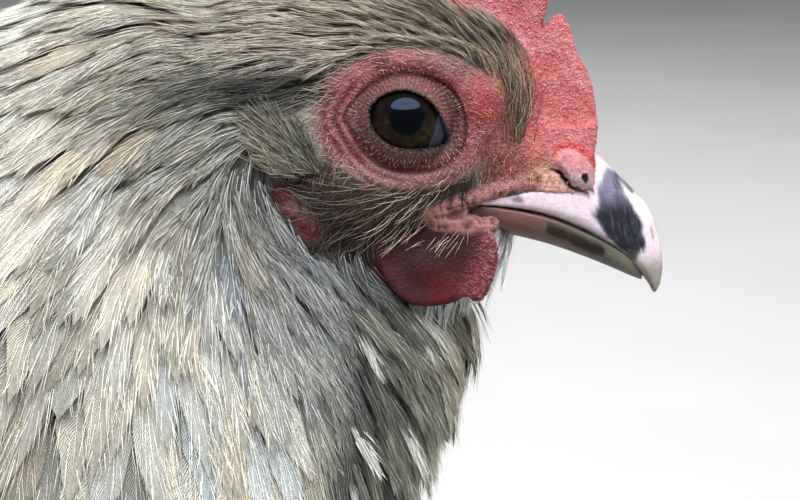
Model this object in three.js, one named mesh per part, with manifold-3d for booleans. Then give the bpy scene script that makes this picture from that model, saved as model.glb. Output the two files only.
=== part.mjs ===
// A resting hen at life size, in millimetres: +X is forward, +Y is the bird's left and +Z is up.
// The belly lies on the floor at z = 0, and the origin is under the middle of the whole bird.
import * as THREE from "three";
import { mergeVertices } from "three/addons/utils/BufferGeometryUtils.js";
import Module from "manifold-3d";

const wasm = await Module();
wasm.setup();

// ---- Driving dimensions ----
const GAP = 0.3; // between neighbouring solids
const HEAD_AT = new THREE.Vector3(149, 0, 196); // the point midway between the eyes
const HEAD_ROLL = THREE.MathUtils.degToRad(-9); // lifts the right eye, so the bird looks up sideways
const EYE_APART = 11.6; // from the middle of the head to an eyeball's centre
const EYE_RADIUS = 6.0;
const COMB_THICKNESS = { base: 5.6, edge: 2.4 };
const WATTLE_THICKNESS = 3.6;
const SHANK_RADIUS = 5.6;
const TAIL_ROOT = new THREE.Vector3(-104, 0, 139);
const FLOOR = 0;

// ---- Materials ----
const finish = (color, roughness) => new THREE.MeshStandardMaterial({ color, roughness, metalness: 0 });
const FINISH = {
  plumage: finish(0xcfc8b6, 0.85),
  hackle: finish(0x9b9484, 0.85),
  crown: finish(0x7d705c, 0.85),
  flight: finish(0xbdb5a3, 0.7),
  redSkin: finish(0xb4433f, 0.6),
  horn: finish(0xe6dbd2, 0.35),
  eye: finish(0x1c1a12, 0.05),
  scale: finish(0xb9a78f, 0.6),
};

// ---- Solids ----

// A closed three.js geometry as a solid.
function solid(geometry) {
  const bare = geometry.index ? geometry.toNonIndexed() : geometry.clone();
  bare.deleteAttribute("normal");
  bare.deleteAttribute("uv");
  const merged = mergeVertices(bare, 1e-3);
  return new wasm.Manifold(new wasm.Mesh({
    numProp: 3,
    vertProperties: merged.attributes.position.array,
    triVerts: new Uint32Array(merged.index.array),
  }));
}

// A solid as a named three.js mesh.
function meshOf(name, material, body) {
  const { numProp, vertProperties, triVerts } = body.getMesh();
  const position = new Float32Array((vertProperties.length / numProp) * 3);
  for (let i = 0; i < position.length / 3; i++) {
    position.set(vertProperties.subarray(i * numProp, i * numProp + 3), i * 3);
  }
  const geometry = new THREE.BufferGeometry();
  geometry.setAttribute("position", new THREE.BufferAttribute(position, 3));
  geometry.setIndex(new THREE.BufferAttribute(triVerts, 1));
  geometry.computeVertexNormals();
  const mesh = new THREE.Mesh(geometry, material);
  mesh.name = name;
  return mesh;
}

// One closed oval ring: halves of `up` and `down` reach along the direction `high`, and `wide` along `side`.
// Powers over 2 make the oval squarer, and `taper` narrows its upper half.
function ring({ at, high, side, up, down, wide, power = 2, taper = 0 }, grow, sides) {
  const points = [];
  for (let i = 0; i < sides; i++) {
    const angle = (i / sides) * Math.PI * 2;
    const squared = (value) => Math.sign(value) * Math.abs(value) ** (2 / power);
    const rise = squared(Math.sin(angle));
    const across = squared(Math.cos(angle)) * (wide * (1 - taper * Math.max(0, rise)) + grow);
    const along = rise * ((rise > 0 ? up : down) + grow);
    points.push(at.clone().addScaledVector(side, across).addScaledVector(high, along));
  }
  return points;
}

// A loft through rings, closed at both ends by a fan round the ring's middle.
function loft(rings, { grow = 0, sides = 24 } = {}) {
  const points = rings.flatMap((each) => ring(each, grow, sides));
  const [first, last] = [rings[0].at, rings.at(-1).at];
  const position = new Float32Array([...points, first, last].flatMap((point) => point.toArray()));
  const faces = [];
  for (let i = 0; i < sides; i++) {
    const next = (i + 1) % sides;
    for (let row = 0; row < (rings.length - 1) * sides; row += sides) {
      faces.push(row + i, row + next, row + sides + i, row + next, row + sides + next, row + sides + i);
    }
    const end = (rings.length - 1) * sides;
    faces.push(points.length, next, i, points.length + 1, end + i, end + next);
  }
  const geometry = new THREE.BufferGeometry();
  geometry.setAttribute("position", new THREE.BufferAttribute(position, 3));
  geometry.setIndex(faces);
  const made = solid(geometry);
  if (made.volume() > 0) return made;
  geometry.setIndex(faces.toReversed());
  return solid(geometry);
}

// Rings square to X, from rows of [x, lowest z, highest z, half width, power].
function ringsAlongX(rows, share = 0.5) {
  return rows.map(([x, low, top, wide, power]) => {
    const middle = low + (top - low) * share;
    return {
      at: new THREE.Vector3(x, 0, middle),
      high: new THREE.Vector3(0, 0, 1),
      side: new THREE.Vector3(0, 1, 0),
      up: top - middle,
      down: middle - low,
      wide,
      power,
    };
  });
}

// A ball, stretched to `radii` and put at `at`.
function ball(at, radii, { grow = 0, columns = 20, rows = 14 } = {}) {
  const geometry = new THREE.SphereGeometry(1, columns, rows);
  geometry.scale(radii[0] + grow, radii[1] + grow, radii[2] + grow);
  geometry.translate(...at);
  return solid(geometry);
}

// A round tapering limb through points, as rows of [x, y, z, radius], with its underside flat on the floor.
function limb(rows, { grow = 0, sides = 10 } = {}) {
  const points = rows.map(([x, y, z]) => new THREE.Vector3(x, y, z));
  const rings = points.map((at, i) => {
    const ahead = points[Math.min(i + 1, points.length - 1)];
    const behind = points[Math.max(i - 1, 0)];
    const along = ahead.clone().sub(behind).normalize();
    const side = new THREE.Vector3(0, 0, 1).cross(along).normalize();
    const high = along.clone().cross(side);
    const radius = rows[i][3];
    return { at, high, side, up: radius, down: radius, wide: radius };
  });
  return aboveFloor(loft(rings, { grow, sides }));
}

// Cuts away what lies under the floor.
function aboveFloor(body) {
  return body.trimByPlane([0, 0, 1], FLOOR);
}

// Parts a solid with a thin cut, and returns the half that the normal points to, then the other half.
function part(body, normal, through) {
  const unit = new THREE.Vector3(...normal).normalize();
  const offset = unit.dot(new THREE.Vector3(...through));
  const front = body.trimByPlane(unit.toArray(), offset + GAP / 2);
  const back = body.trimByPlane(unit.clone().negate().toArray(), -(offset - GAP / 2));
  return [front, back];
}

// The largest single body of a solid, without the slivers that a cut may leave.
function largest(body) {
  return body.decompose().reduce((best, each) => (each.volume() > best.volume() ? each : best));
}

// Places a solid that was made in the head's own frame, whose origin is midway between the eyes.
const headMatrix = new THREE.Matrix4().compose(
  HEAD_AT, new THREE.Quaternion().setFromEuler(new THREE.Euler(HEAD_ROLL, 0, 0)), new THREE.Vector3(1, 1, 1));
const onHead = (body) => body.transform(headMatrix.toArray());

// ---- Trunk and neck ----

// The trunk from tail root to breast, square to X.
const TRUNK = [
  [-150, 100, 150, 9, 2],
  [-140, 72, 162, 22, 2],
  [-120, 34, 168, 42, 2.1],
  [-92, 6, 165, 62, 2.2],
  [-55, -5, 159, 77, 2.3],
  [-10, -6, 157, 84, 2.3],
  [40, -6, 160, 84, 2.3],
  [84, -3, 163, 77, 2.3],
  [116, 9, 158, 65, 2.2],
  [138, 30, 149, 49, 2.1],
  [152, 54, 135, 33, 2],
  [160, 80, 114, 13, 2],
];

// The neck from shoulders to nape. Each row gives the front edge and the back edge in side view as x and z,
// the half width, and how much narrower the front half is.
const NECK = [
  [[152, 92], [8, 132], 62, 0],
  [[152, 116], [34, 170], 60, 0.05],
  [[151, 136], [58, 193], 48, 0.15],
  [[155, 150], [79, 208], 35, 0.25],
  [[160, 161], [97, 217], 23.5, 0.4],
  [[161, 171], [111, 218], 17, 0.5],
  [[150, 175], [126, 210], 10, 0.5],
];

function neckRings() {
  return NECK.map(([front, back, wide, taper]) => {
    const fore = new THREE.Vector3(front[0], 0, front[1]);
    const aft = new THREE.Vector3(back[0], 0, back[1]);
    const high = fore.clone().sub(aft);
    const reach = high.length() / 2;
    return {
      at: fore.clone().add(aft).multiplyScalar(0.5),
      high: high.normalize(),
      side: new THREE.Vector3(0, 1, 0),
      up: reach,
      down: reach,
      wide,
      power: 2.1,
      taper,
    };
  });
}

const trunkSolid = (grow = 0) => aboveFloor(loft(ringsAlongX(TRUNK, 0.47), { grow, sides: 28 }));
const neckSolid = (grow = 0) => loft(neckRings(), { grow, sides: 24 });

// ---- Head, in its own frame ----

// The head without comb and beak, square to X from the nape to the bill, with its feathers.
const HEAD = [
  [-37, -14, 10, 12, 2],
  [-31, -21, 17, 17, 2],
  [-22, -24, 20.5, 18.6, 2.1],
  [-12, -24, 22, 17.6, 2.2],
  [-2, -22, 22, 16, 2.3],
  [6, -19.5, 20, 14.6, 2.3],
  [12, -16.5, 16, 11.8, 2.2],
  [18, -14.2, 8.5, 9.2, 2.1],
  [23, -13.2, 1, 8, 2.1],
  [26.6, -12.6, -4, 7, 2.1],
];
const headSolid = (grow = 0) => loft(ringsAlongX(HEAD, 0.52), { grow, sides: 20 });

// The upper bill, whose hooked tip reaches over the lower one.
const UPPER_BILL = [
  [9, -12.4, -10.6, 8.4, 2],
  [14, -13.6, -9.4, 8.2, 2],
  [19, -14.8, -6.5, 7.9, 2],
  [24, -16.0, -4.4, 7.1, 2],
  [28, -17.8, -6.4, 5.9, 2],
  [31, -19.8, -9.2, 4.7, 2],
  [33.6, -21.9, -12.8, 3.4, 2],
  [35.2, -23.2, -17.2, 2.1, 2],
  [35.9, -23.6, -20.6, 0.9, 2],
];
const LOWER_BILL = [
  [8, -15.8, -12.3, 7.4, 2.2],
  [14, -16.8, -13.4, 6.9, 2.2],
  [20, -18.1, -14.6, 6.1, 2.2],
  [25, -19.7, -16.0, 4.9, 2.2],
  [29, -21.3, -18.0, 3.6, 2.2],
  [32, -22.6, -20.2, 2.0, 2.2],
];
const upperBillSolid = (grow = 0) => loft(ringsAlongX(UPPER_BILL, 0.3), { grow, sides: 16 });
const lowerBillSolid = (grow = 0) => loft(ringsAlongX(LOWER_BILL), { grow, sides: 12 });

// The single comb in side view: five points over a low blade, as x and z of each notch and tip.
const COMB_FRONT = [[27.4, -7], [27.9, 0], [26.4, 6.5], [24, 11]];
const COMB_POINTS = [
  { tip: [22.0, 15.4], notch: [20.0, 13.4] },
  { tip: [18.8, 26.5], notch: [12.4, 21] },
  { tip: [9.0, 33.5], notch: [2.6, 23.4] },
  { tip: [-2.4, 34.8], notch: [-8.0, 24] },
  { tip: [-13.6, 30.4], notch: [-17.4, 23] },
];
const COMB_BACK = [[-23.5, 23.4], [-24, 18.5], [-14, 14], [0, 10], [16, -2], [22, -8]];

function combSolid() {
  const outline = new THREE.Shape();
  outline.moveTo(...COMB_FRONT[0]);
  COMB_FRONT.slice(1).forEach((point) => outline.lineTo(...point));
  let from = COMB_FRONT.at(-1);
  for (const { tip, notch } of COMB_POINTS) {
    outline.quadraticCurveTo((from[0] + tip[0]) / 2 + 1, tip[1] - 2, ...tip);
    outline.quadraticCurveTo(notch[0] + 0.6, notch[1] + 2.5, ...notch);
    from = notch;
  }
  COMB_BACK.forEach((point) => outline.lineTo(...point));
  const bevel = (COMB_THICKNESS.base - COMB_THICKNESS.edge) / 2;
  const plate = new THREE.ExtrudeGeometry(outline, {
    depth: COMB_THICKNESS.edge,
    curveSegments: 2,
    bevelThickness: bevel,
    bevelSize: 0.6,
    bevelOffset: -0.6,
    bevelSegments: 1,
  });
  plate.translate(0, 0, -COMB_THICKNESS.edge / 2);
  plate.rotateX(Math.PI / 2);
  return solid(plate).subtract(headSolid(GAP)).subtract(upperBillSolid(GAP));
}

// One wattle: a thin lobe that hangs below the jaw, leaning outwards. The side is 1 for left and -1 for right.
function wattleSolid(side, grow = 0) {
  const rows = [
    [-10.5, 1.9, 6.5],
    [-14.5, 1.9, 8.6],
    [-18.5, 1.8, 9.2],
    [-22, 1.5, 8.2],
    [-24.6, 1.1, 5.8],
    [-25.8, 0.7, 2.6],
  ];
  const rings = rows.map(([z, thick, reach], i) => ({
    at: new THREE.Vector3(4.3, side * (8.6 + i * 0.25), z),
    high: new THREE.Vector3(1, 0, 0),
    side: new THREE.Vector3(0, side, 0),
    up: reach,
    down: reach,
    wide: (thick * WATTLE_THICKNESS) / 3.8,
  }));
  return loft(rings, { grow, sides: 10 });
}

// The fleshy lobe under and behind the ear.
const earlobeSolid = (side, grow = 0) =>
  ball([-15.5, side * 16.4, -12.5], [4.4, 5, 6.4], { grow, columns: 12, rows: 8 });
const eyeSolid = (side, grow = 0) =>
  ball([0, side * EYE_APART, 0], [EYE_RADIUS, EYE_RADIUS, EYE_RADIUS], { grow, columns: 12, rows: 8 });

// ---- Wings ----

// A folded wing as seen from the side: rows of x, lower edge, upper edge and how far it stands out.
const WING = [
  [104, 100, 116, 4],
  [97, 84, 130, 10],
  [80, 69, 141, 14],
  [48, 60, 147, 16],
  [10, 58, 149, 16],
  [-28, 64, 149, 15],
  [-62, 76, 147, 13],
  [-92, 92, 143, 11],
  [-118, 108, 138, 8],
  [-136, 120, 131, 3],
];
// Half width of the trunk's side that a wing follows, at each of WING's rows.
const WING_SEAT = [64, 69, 77, 83, 84, 82, 73, 60, 43, 31];

function wingSolid(side, grow = 0) {
  const rings = WING.map(([x, low, top, out], i) => ({
    at: new THREE.Vector3(x, side * (WING_SEAT[i] - 4), (low + top) / 2),
    high: new THREE.Vector3(0, 0, 1),
    side: new THREE.Vector3(0, side, 0),
    up: (top - low) / 2,
    down: (top - low) / 2,
    wide: out,
    power: 2.4,
  }));
  return loft(rings, { grow, sides: 14 });
}

// ---- Tail ----

// Half of the main tail: a fan of stiff feathers folded like a roof, raised behind the body. Rows are the
// distance from the root, the half height of the fan and its thickness.
const TAIL_FAN = [
  [4, 15, 6],
  [36, 23, 6],
  [72, 31, 4.4],
  [98, 34, 3],
  [113, 28, 2.2],
  [122, 16, 1.4],
];
const TAIL_RISE = THREE.MathUtils.degToRad(42);
const TAIL_ROOF = THREE.MathUtils.degToRad(15); // how far each half leans away from upright
const TAIL_SPLAY = 0.06;

function tailHalf(side) {
  const along = new THREE.Vector3(
    -Math.cos(TAIL_RISE) * Math.cos(TAIL_SPLAY), side * Math.sin(TAIL_SPLAY), Math.sin(TAIL_RISE));
  const high = new THREE.Vector3(Math.sin(TAIL_RISE), 0, Math.cos(TAIL_RISE))
    .multiplyScalar(Math.cos(TAIL_ROOF)).add(new THREE.Vector3(0, -side * Math.sin(TAIL_ROOF), 0));
  const rings = TAIL_FAN.map(([reach, half, thick]) => ({
    at: TAIL_ROOT.clone().addScaledVector(along, reach).add(new THREE.Vector3(0, side * 9, 0)),
    high,
    side: along.clone().cross(high).normalize(),
    up: half,
    down: half,
    wide: thick,
    power: 2.6,
  }));
  return loft(rings, { sides: 12 }).trimByPlane([0, side, 0], GAP / 2);
}

// The soft feathers that wrap the tail's root, as rows of distance from the root, half height and half width.
const TAIL_CUSHION = [
  [-34, 26, 40],
  [-10, 34, 40],
  [16, 37, 32],
  [40, 32, 23],
  [60, 22, 14],
];
const CUSHION_RISE = THREE.MathUtils.degToRad(34);

function tailCushion(grow = 0) {
  const along = new THREE.Vector3(-Math.cos(CUSHION_RISE), 0, Math.sin(CUSHION_RISE));
  const rings = TAIL_CUSHION.map(([reach, half, wide]) => ({
    at: TAIL_ROOT.clone().addScaledVector(along, reach).add(new THREE.Vector3(0, 0, -8)),
    high: new THREE.Vector3(Math.sin(CUSHION_RISE), 0, Math.cos(CUSHION_RISE)),
    side: new THREE.Vector3(0, 1, 0),
    up: half,
    down: half,
    wide,
  }));
  return loft(rings, { grow, sides: 18 });
}

// ---- Legs ----

const thighSolid = (side, grow = 0) =>
  ball([26, side * 56, 40], [66, 33, 44], { grow, columns: 16, rows: 10 });

const FOOT = new THREE.Vector3(58, 50, 7.5); // where the left foot's toes meet
const HOCK = new THREE.Vector3(-16, 46, 9);

const shankSolid = (side, grow = 0) => limb([
  [HOCK.x - 7, side * HOCK.y, HOCK.z, SHANK_RADIUS * 0.9],
  [HOCK.x, side * HOCK.y, HOCK.z, SHANK_RADIUS * 1.35],
  [HOCK.x + 14, side * HOCK.y, HOCK.z - 1, SHANK_RADIUS],
  [FOOT.x - 20, side * FOOT.y, FOOT.z, SHANK_RADIUS * 0.95],
  [FOOT.x - 4, side * FOOT.y, FOOT.z, SHANK_RADIUS * 1.2],
], { grow, sides: 10 });

// Each toe: heading in degrees away from the body's middle, length without claw, and radius at its root.
const TOES = {
  inner: { heading: -27, length: 38, radius: 4.3 },
  middle: { heading: 3, length: 52, radius: 4.6 },
  outer: { heading: 30, length: 41, radius: 4.2 },
  hind: { heading: -152, length: 17, radius: 3.6 },
};
const CLAW_LENGTH = 13;

// Points along a toe at shares of its length, with a pad at each joint.
function toeRows(side, { heading, length, radius }, shares) {
  const angle = THREE.MathUtils.degToRad(heading);
  return shares.map(([share, thick]) => {
    const reach = 6 + share * length;
    const size = radius * thick;
    return [FOOT.x + Math.cos(angle) * reach, side * (FOOT.y + Math.sin(angle) * reach), size * 0.86, size];
  });
}

const TOE_SHAPE = [[0, 1], [0.3, 0.85], [0.5, 0.98], [0.74, 0.8], [1, 0.6]];
const toeSolid = (side, toe, grow = 0) => limb(toeRows(side, toe, TOE_SHAPE), { grow, sides: 8 });

function clawSolid(side, toe, grow = 0) {
  const angle = THREE.MathUtils.degToRad(toe.heading);
  const rows = [[-2, 1.9, 3.2], [2, 1.9, 3.6], [7, 1.4, 3.0], [CLAW_LENGTH, 0.45, 0.7]];
  return limb(rows.map(([reach, radius, height]) => {
    const from = 6 + toe.length + reach;
    return [FOOT.x + Math.cos(angle) * from, side * (FOOT.y + Math.sin(angle) * from), height, radius];
  }), { grow, sides: 6 });
}

// The room that the feathers leave round a leg folded under the body.
function legRoom(side) {
  const shank = limb([
    [HOCK.x - 12, side * HOCK.y, HOCK.z, SHANK_RADIUS * 1.6],
    [FOOT.x, side * FOOT.y, HOCK.z, SHANK_RADIUS * 1.7],
  ], { sides: 8 });
  return shank.add(ball([FOOT.x + 16, side * (FOOT.y + 1), 3], [46, 32, 14], { columns: 14, rows: 8 }))
    .add(toeSolid(side, TOES.hind, GAP)).add(clawSolid(side, TOES.hind, GAP));
}

// ---- Putting the bird together ----

const hen = new THREE.Group();
const add = (name, material, body) => hen.add(meshOf(name, material, largest(body)));
const SIDES = { left: 1, right: -1 };
const NECK_CUT = { normal: [0.38, 0, 0.92], through: [108, 0, 168] };
const SHOULDER_CUT = { normal: [0.25, 0, 1], through: [100, 0, 132] };

// The neck's feathers, down to the shoulders.
function hackleSolid(grow = 0) {
  const normal = new THREE.Vector3(...SHOULDER_CUT.normal).normalize();
  const offset = normal.dot(new THREE.Vector3(...SHOULDER_CUT.through));
  return neckSolid(grow).trimByPlane(normal.toArray(), offset - grow);
}

function addHead() {
  const bill = upperBillSolid(GAP).add(lowerBillSolid(GAP));
  const eyes = eyeSolid(1, GAP).add(eyeSolid(-1, GAP));
  add("head", FINISH.crown, onHead(headSolid().subtract(bill).subtract(eyes)));
  add("comb", FINISH.redSkin, onHead(combSolid()).subtract(neckSolid(GAP)));
  add("bill_upper", FINISH.horn, onHead(upperBillSolid()));
  add("bill_lower", FINISH.horn, onHead(lowerBillSolid().subtract(upperBillSolid(GAP))));
  const flesh = headSolid(GAP).add(bill);
  for (const [name, side] of Object.entries(SIDES)) {
    add(`eye_${name}`, FINISH.eye, onHead(eyeSolid(side)));
    add(`wattle_${name}`, FINISH.redSkin, onHead(wattleSolid(side).subtract(flesh)));
    add(`earlobe_${name}`, FINISH.redSkin, onHead(earlobeSolid(side).subtract(flesh)));
  }
}

// The neck without the head and the lobes that hang on it.
function addNeck() {
  const parts = [headSolid(GAP), upperBillSolid(GAP), lowerBillSolid(GAP)];
  for (const side of [1, -1]) parts.push(wattleSolid(side, GAP), earlobeSolid(side, GAP), eyeSolid(side, GAP));
  const bare = hackleSolid().subtract(onHead(wasm.Manifold.union(parts)));
  const [upper, lower] = part(bare, NECK_CUT.normal, NECK_CUT.through);
  add("neck_upper", FINISH.hackle, upper);
  add("neck_lower", FINISH.hackle, lower);
}

// The trunk below the shoulders, in two pieces, with room for the legs folded under it.
function addTrunk() {
  const body = trunkSolid().subtract(hackleSolid(GAP)).subtract(tailCushion(GAP))
    .subtract(legRoom(1)).subtract(legRoom(-1));
  const [breast, belly] = part(aboveFloor(body), [1, 0, 0.3], [48, 0, 70]);
  add("breast", FINISH.plumage, breast);
  add("belly", FINISH.plumage, belly);
}

function addWingsAndThighs() {
  const body = trunkSolid(GAP).add(neckSolid(GAP)).add(tailCushion(GAP));
  for (const [name, side] of Object.entries(SIDES)) {
    const [coverts, flight] = part(wingSolid(side).subtract(body), [1, 0, 0.5], [20, 0, 95]);
    const [secondaries, primaries] = part(flight, [0.32, 0, 1], [-70, 0, 94]);
    add(`wing_coverts_${name}`, FINISH.plumage, coverts);
    add(`wing_secondaries_${name}`, FINISH.flight, secondaries);
    add(`wing_primaries_${name}`, FINISH.flight, primaries);
    const thigh = aboveFloor(thighSolid(side)).subtract(body).subtract(wingSolid(side, GAP))
      .subtract(legRoom(side));
    add(`thigh_${name}`, FINISH.plumage, thigh);
  }
}

function addTail() {
  const cushion = tailCushion(GAP);
  add("tail_cushion", FINISH.plumage, tailCushion());
  for (const [name, side] of Object.entries(SIDES)) {
    add(`tail_${name}`, FINISH.flight, tailHalf(side).subtract(cushion));
  }
}

function addLegs() {
  for (const [name, side] of Object.entries(SIDES)) {
    add(`shank_${name}`, FINISH.scale, shankSolid(side));
    const middle = toeSolid(side, TOES.middle, GAP);
    for (const [which, toe] of Object.entries(TOES)) {
      const bare = toeSolid(side, toe).subtract(shankSolid(side, GAP));
      add(`toe_${which}_${name}`, FINISH.scale, which === "middle" ? bare : bare.subtract(middle));
      add(`claw_${which}_${name}`, FINISH.horn, clawSolid(side, toe).subtract(toeSolid(side, toe, GAP)));
    }
  }
}

addHead();
addNeck();
addTrunk();
addWingsAndThighs();
addTail();
addLegs();

// The origin lies under the middle of the bird.
const box = new THREE.Box3().setFromObject(hen);
hen.position.x = -(box.min.x + box.max.x) / 2;

export default hen;
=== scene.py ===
"""A resting hen at life size: skin, eyes, bill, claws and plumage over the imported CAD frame."""
import math
from collections import namedtuple

import bmesh
import bpy
import numpy as np
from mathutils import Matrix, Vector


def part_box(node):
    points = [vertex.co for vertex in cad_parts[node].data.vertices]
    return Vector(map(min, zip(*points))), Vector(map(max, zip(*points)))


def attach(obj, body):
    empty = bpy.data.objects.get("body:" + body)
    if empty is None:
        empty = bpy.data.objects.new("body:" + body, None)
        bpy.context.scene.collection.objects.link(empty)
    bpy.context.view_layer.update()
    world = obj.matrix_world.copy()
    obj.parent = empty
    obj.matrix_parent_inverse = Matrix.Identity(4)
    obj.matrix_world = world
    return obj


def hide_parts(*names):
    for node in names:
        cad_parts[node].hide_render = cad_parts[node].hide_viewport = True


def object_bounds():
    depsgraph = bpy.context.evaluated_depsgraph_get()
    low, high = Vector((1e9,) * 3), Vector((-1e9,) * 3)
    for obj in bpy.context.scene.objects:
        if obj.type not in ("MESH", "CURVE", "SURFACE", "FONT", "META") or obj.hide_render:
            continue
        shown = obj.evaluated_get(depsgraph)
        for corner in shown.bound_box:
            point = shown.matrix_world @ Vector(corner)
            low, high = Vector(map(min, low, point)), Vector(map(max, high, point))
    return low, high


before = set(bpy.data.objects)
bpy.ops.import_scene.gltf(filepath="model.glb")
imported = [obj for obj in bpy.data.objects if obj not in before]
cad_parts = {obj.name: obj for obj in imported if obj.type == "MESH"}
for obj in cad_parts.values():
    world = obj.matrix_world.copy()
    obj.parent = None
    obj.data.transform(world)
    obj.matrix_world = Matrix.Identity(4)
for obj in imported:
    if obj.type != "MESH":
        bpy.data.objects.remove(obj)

import openvdb as vdb
from mathutils import Vector
from mathutils.bvhtree import BVHTree

CAD_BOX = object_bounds()
MM = 0.001
SEED = 20
SIDES = {"left": 1, "right": -1}
TOES = ("inner", "middle", "outer", "hind")
chance = np.random.default_rng(SEED)


# ---- The head's own frame: millimetres from the point midway between the eyes ----

def centre(node):
    low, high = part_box(node)
    return (low + high) / 2


EYES = {side: centre(f"eye_{side}") for side in SIDES}
LEFTWARDS = (EYES["left"] - EYES["right"]).normalized()
AHEAD = (Vector((1, 0, 0)) - LEFTWARDS * LEFTWARDS.x).normalized()
HEAD_AXES = np.array([AHEAD, LEFTWARDS, AHEAD.cross(LEFTWARDS)])
HEAD_ORIGIN = np.array((EYES["left"] + EYES["right"]) / 2)
EYE_OUT = (EYES["left"] - EYES["right"]).length / 2 / MM
EYE_RADIUS = (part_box("eye_right")[1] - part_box("eye_right")[0]).x / 2 / MM


def to_head(points):
    return (np.asarray(points) - HEAD_ORIGIN) @ HEAD_AXES.T / MM


def from_head(points):
    return HEAD_ORIGIN + np.asarray(points) @ HEAD_AXES * MM


def one_sided(p):
    """Head points with the right side folded over onto the left."""
    return np.stack([p[:, 0], np.abs(p[:, 1]), p[:, 2]], axis=1)


def near_head(q):
    return (np.abs(q - [-4, 0, 0]) < [36, 26, 40]).all(axis=1)


# ---- Small mathematics ----

def smoothstep(low, high, value):
    t = np.clip((value - low) / (high - low), 0, 1)
    return t * t * (3 - 2 * t)


def bell(*terms):
    """1 where each value is at its middle, falling away over its reach."""
    return np.exp(-sum(((value - middle) / reach) ** 2 for value, middle, reach in terms))


def unit(vectors):
    return vectors / np.maximum(np.linalg.norm(vectors, axis=-1, keepdims=True), 1e-9)


def only(chosen, values):
    """The values at the chosen points, and 0 elsewhere."""
    whole = np.zeros(len(chosen))
    whole[chosen] = values
    return whole


def hashed(cell, salt):
    """A repeatable random number from 0 to 1 for each whole-number cell."""
    n = cell.astype(np.int64) @ np.array([73856093, 19349663, 83492791]) + salt * 2654435761
    n = (n ^ (n >> 13)) * 1274126177
    return ((n ^ (n >> 16)) & 0xFFFFFF) / 0xFFFFFF


def noise(points, size, salt=0):
    """Smooth noise from -1 to 1."""
    scaled = points / size
    base = np.floor(scaled)
    part = scaled - base
    part = part * part * (3 - 2 * part)
    total = np.zeros(len(points))
    for corner in np.ndindex(2, 2, 2):
        weight = np.prod(np.where(np.array(corner) == 1, part, 1 - part), axis=1)
        total += weight * hashed(base + corner, salt)
    return total * 2 - 1


def knobs(points, size, salt=0):
    """Rounded bumps from 0 to 1, packed about a size apart."""
    scaled = points / size
    base = np.floor(scaled)
    nearest = np.full(len(points), 9.0)
    for step in np.ndindex(3, 3, 3):
        cell = base + np.array(step) - 1
        middle = np.stack([hashed(cell, salt + axis) for axis in range(3)], axis=1)
        nearest = np.minimum(nearest, np.linalg.norm(cell + middle - scaled, axis=1))
    return 1 - smoothstep(0.1, 0.75, nearest)


# ---- Colours, given as display values from 0 to 255 ----

RED = 168, 78, 80
PALE_RED = 226, 160, 158
DEEP_RED = 96, 30, 32
COMB_PINK = 238, 126, 128
MAROON = 70, 20, 22
LOBE_RED = 112, 40, 46
LID_PINK = 126, 76, 72
LID_GREY = 138, 92, 90
# Painted shade for the crease round the lids.
CREASE_SHADE = 92, 40, 38
RIM = 22, 18, 18
LORE_BROWN = 170, 96, 80
NOSTRIL_PINK = 255, 166, 170
SKIN_PINK = 120, 88, 78
DOWN_DARK = 30, 25, 22
LEG_COLOUR = 150, 146, 132
CREAM_WHITE = 240, 237, 226
SOFT_GREY = 160, 158, 150
BUFF = 226, 212, 182
PALE_SHAFT = 232, 230, 222


def linear(red, green, blue):
    """A display colour in linear light."""
    shown = np.array([red, green, blue]) / 255
    return np.where(shown <= 0.04045, shown / 12.92, ((shown + 0.055) / 1.055) ** 2.4)


def wash(tint, *layers):
    """Lays colours over a first one, each point by the layer's share. A tuple is a display colour."""
    tint = linear(*tint) if isinstance(tint, tuple) else tint
    for colour, share in layers:
        colour = linear(*colour) if isinstance(colour, tuple) else colour
        tint = tint * (1 - share[:, None]) + colour * share[:, None]
    return tint


# ---- Fields: distances to a surface in millimetres, negative inside ----

def ellipsoid(p, at, radii):
    q = (p - np.array(at)) / np.array(radii)
    k = np.linalg.norm(q, axis=1)
    return k * (k - 1) / np.maximum(np.linalg.norm(q / np.array(radii), axis=1), 1e-9)


def capsule(p, start, end, r0, r1=None):
    r1 = r0 if r1 is None else r1
    start = np.array(start, float)
    run = np.array(end, float) - start
    t = np.clip((p - start) @ run / (run @ run), 0, 1)
    return np.linalg.norm(p - start - t[:, None] * run, axis=1) - (r0 + (r1 - r0) * t)


def side_capsule(x, z, start, end, *radii):
    """A capsule in side view."""
    return capsule(np.stack([x, z, 0 * x], 1), (*start, 0), (*end, 0), *radii)


def join(a, b, soft):
    """The union of two fields with a soft seam."""
    h = np.clip(0.5 + 0.5 * (b - a) / soft, 0, 1)
    return b * (1 - h) + a * h - soft * h * (1 - h)


def carve(a, b, soft):
    return -join(-a, b, soft)


def shared(a, b, soft):
    return -join(-a, -b, soft)


def outline_distance(x, z, outline):
    """Distance to a closed outline in side view, negative inside."""
    best = np.full(len(x), 1e9)
    inside = np.zeros(len(x), bool)
    for (ax, az), (bx, bz) in zip(outline, np.roll(outline, -1, axis=0)):
        dx, dz = bx - ax, bz - az
        t = np.clip(((x - ax) * dx + (z - az) * dz) / (dx * dx + dz * dz), 0, 1)
        best = np.minimum(best, (x - ax - t * dx) ** 2 + (z - az - t * dz) ** 2)
        crosses = (az > z) != (bz > z)
        inside ^= crosses & (x < ax + (z - az) * dx / (dz if dz else 1e-9))
    return np.where(inside, -1, 1) * np.sqrt(best)


def rounded(corners, rounds):
    """Rounds an outline's corners off by cutting them."""
    ring = np.array(corners, float)
    for _ in range(rounds):
        after = np.roll(ring, -1, axis=0)
        ring = np.stack([ring * 0.75 + after * 0.25, ring * 0.25 + after * 0.75], axis=1).reshape(-1, 2)
    return ring


# ---- The head's flesh: outlines in side view, and the fields they shape ----

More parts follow.
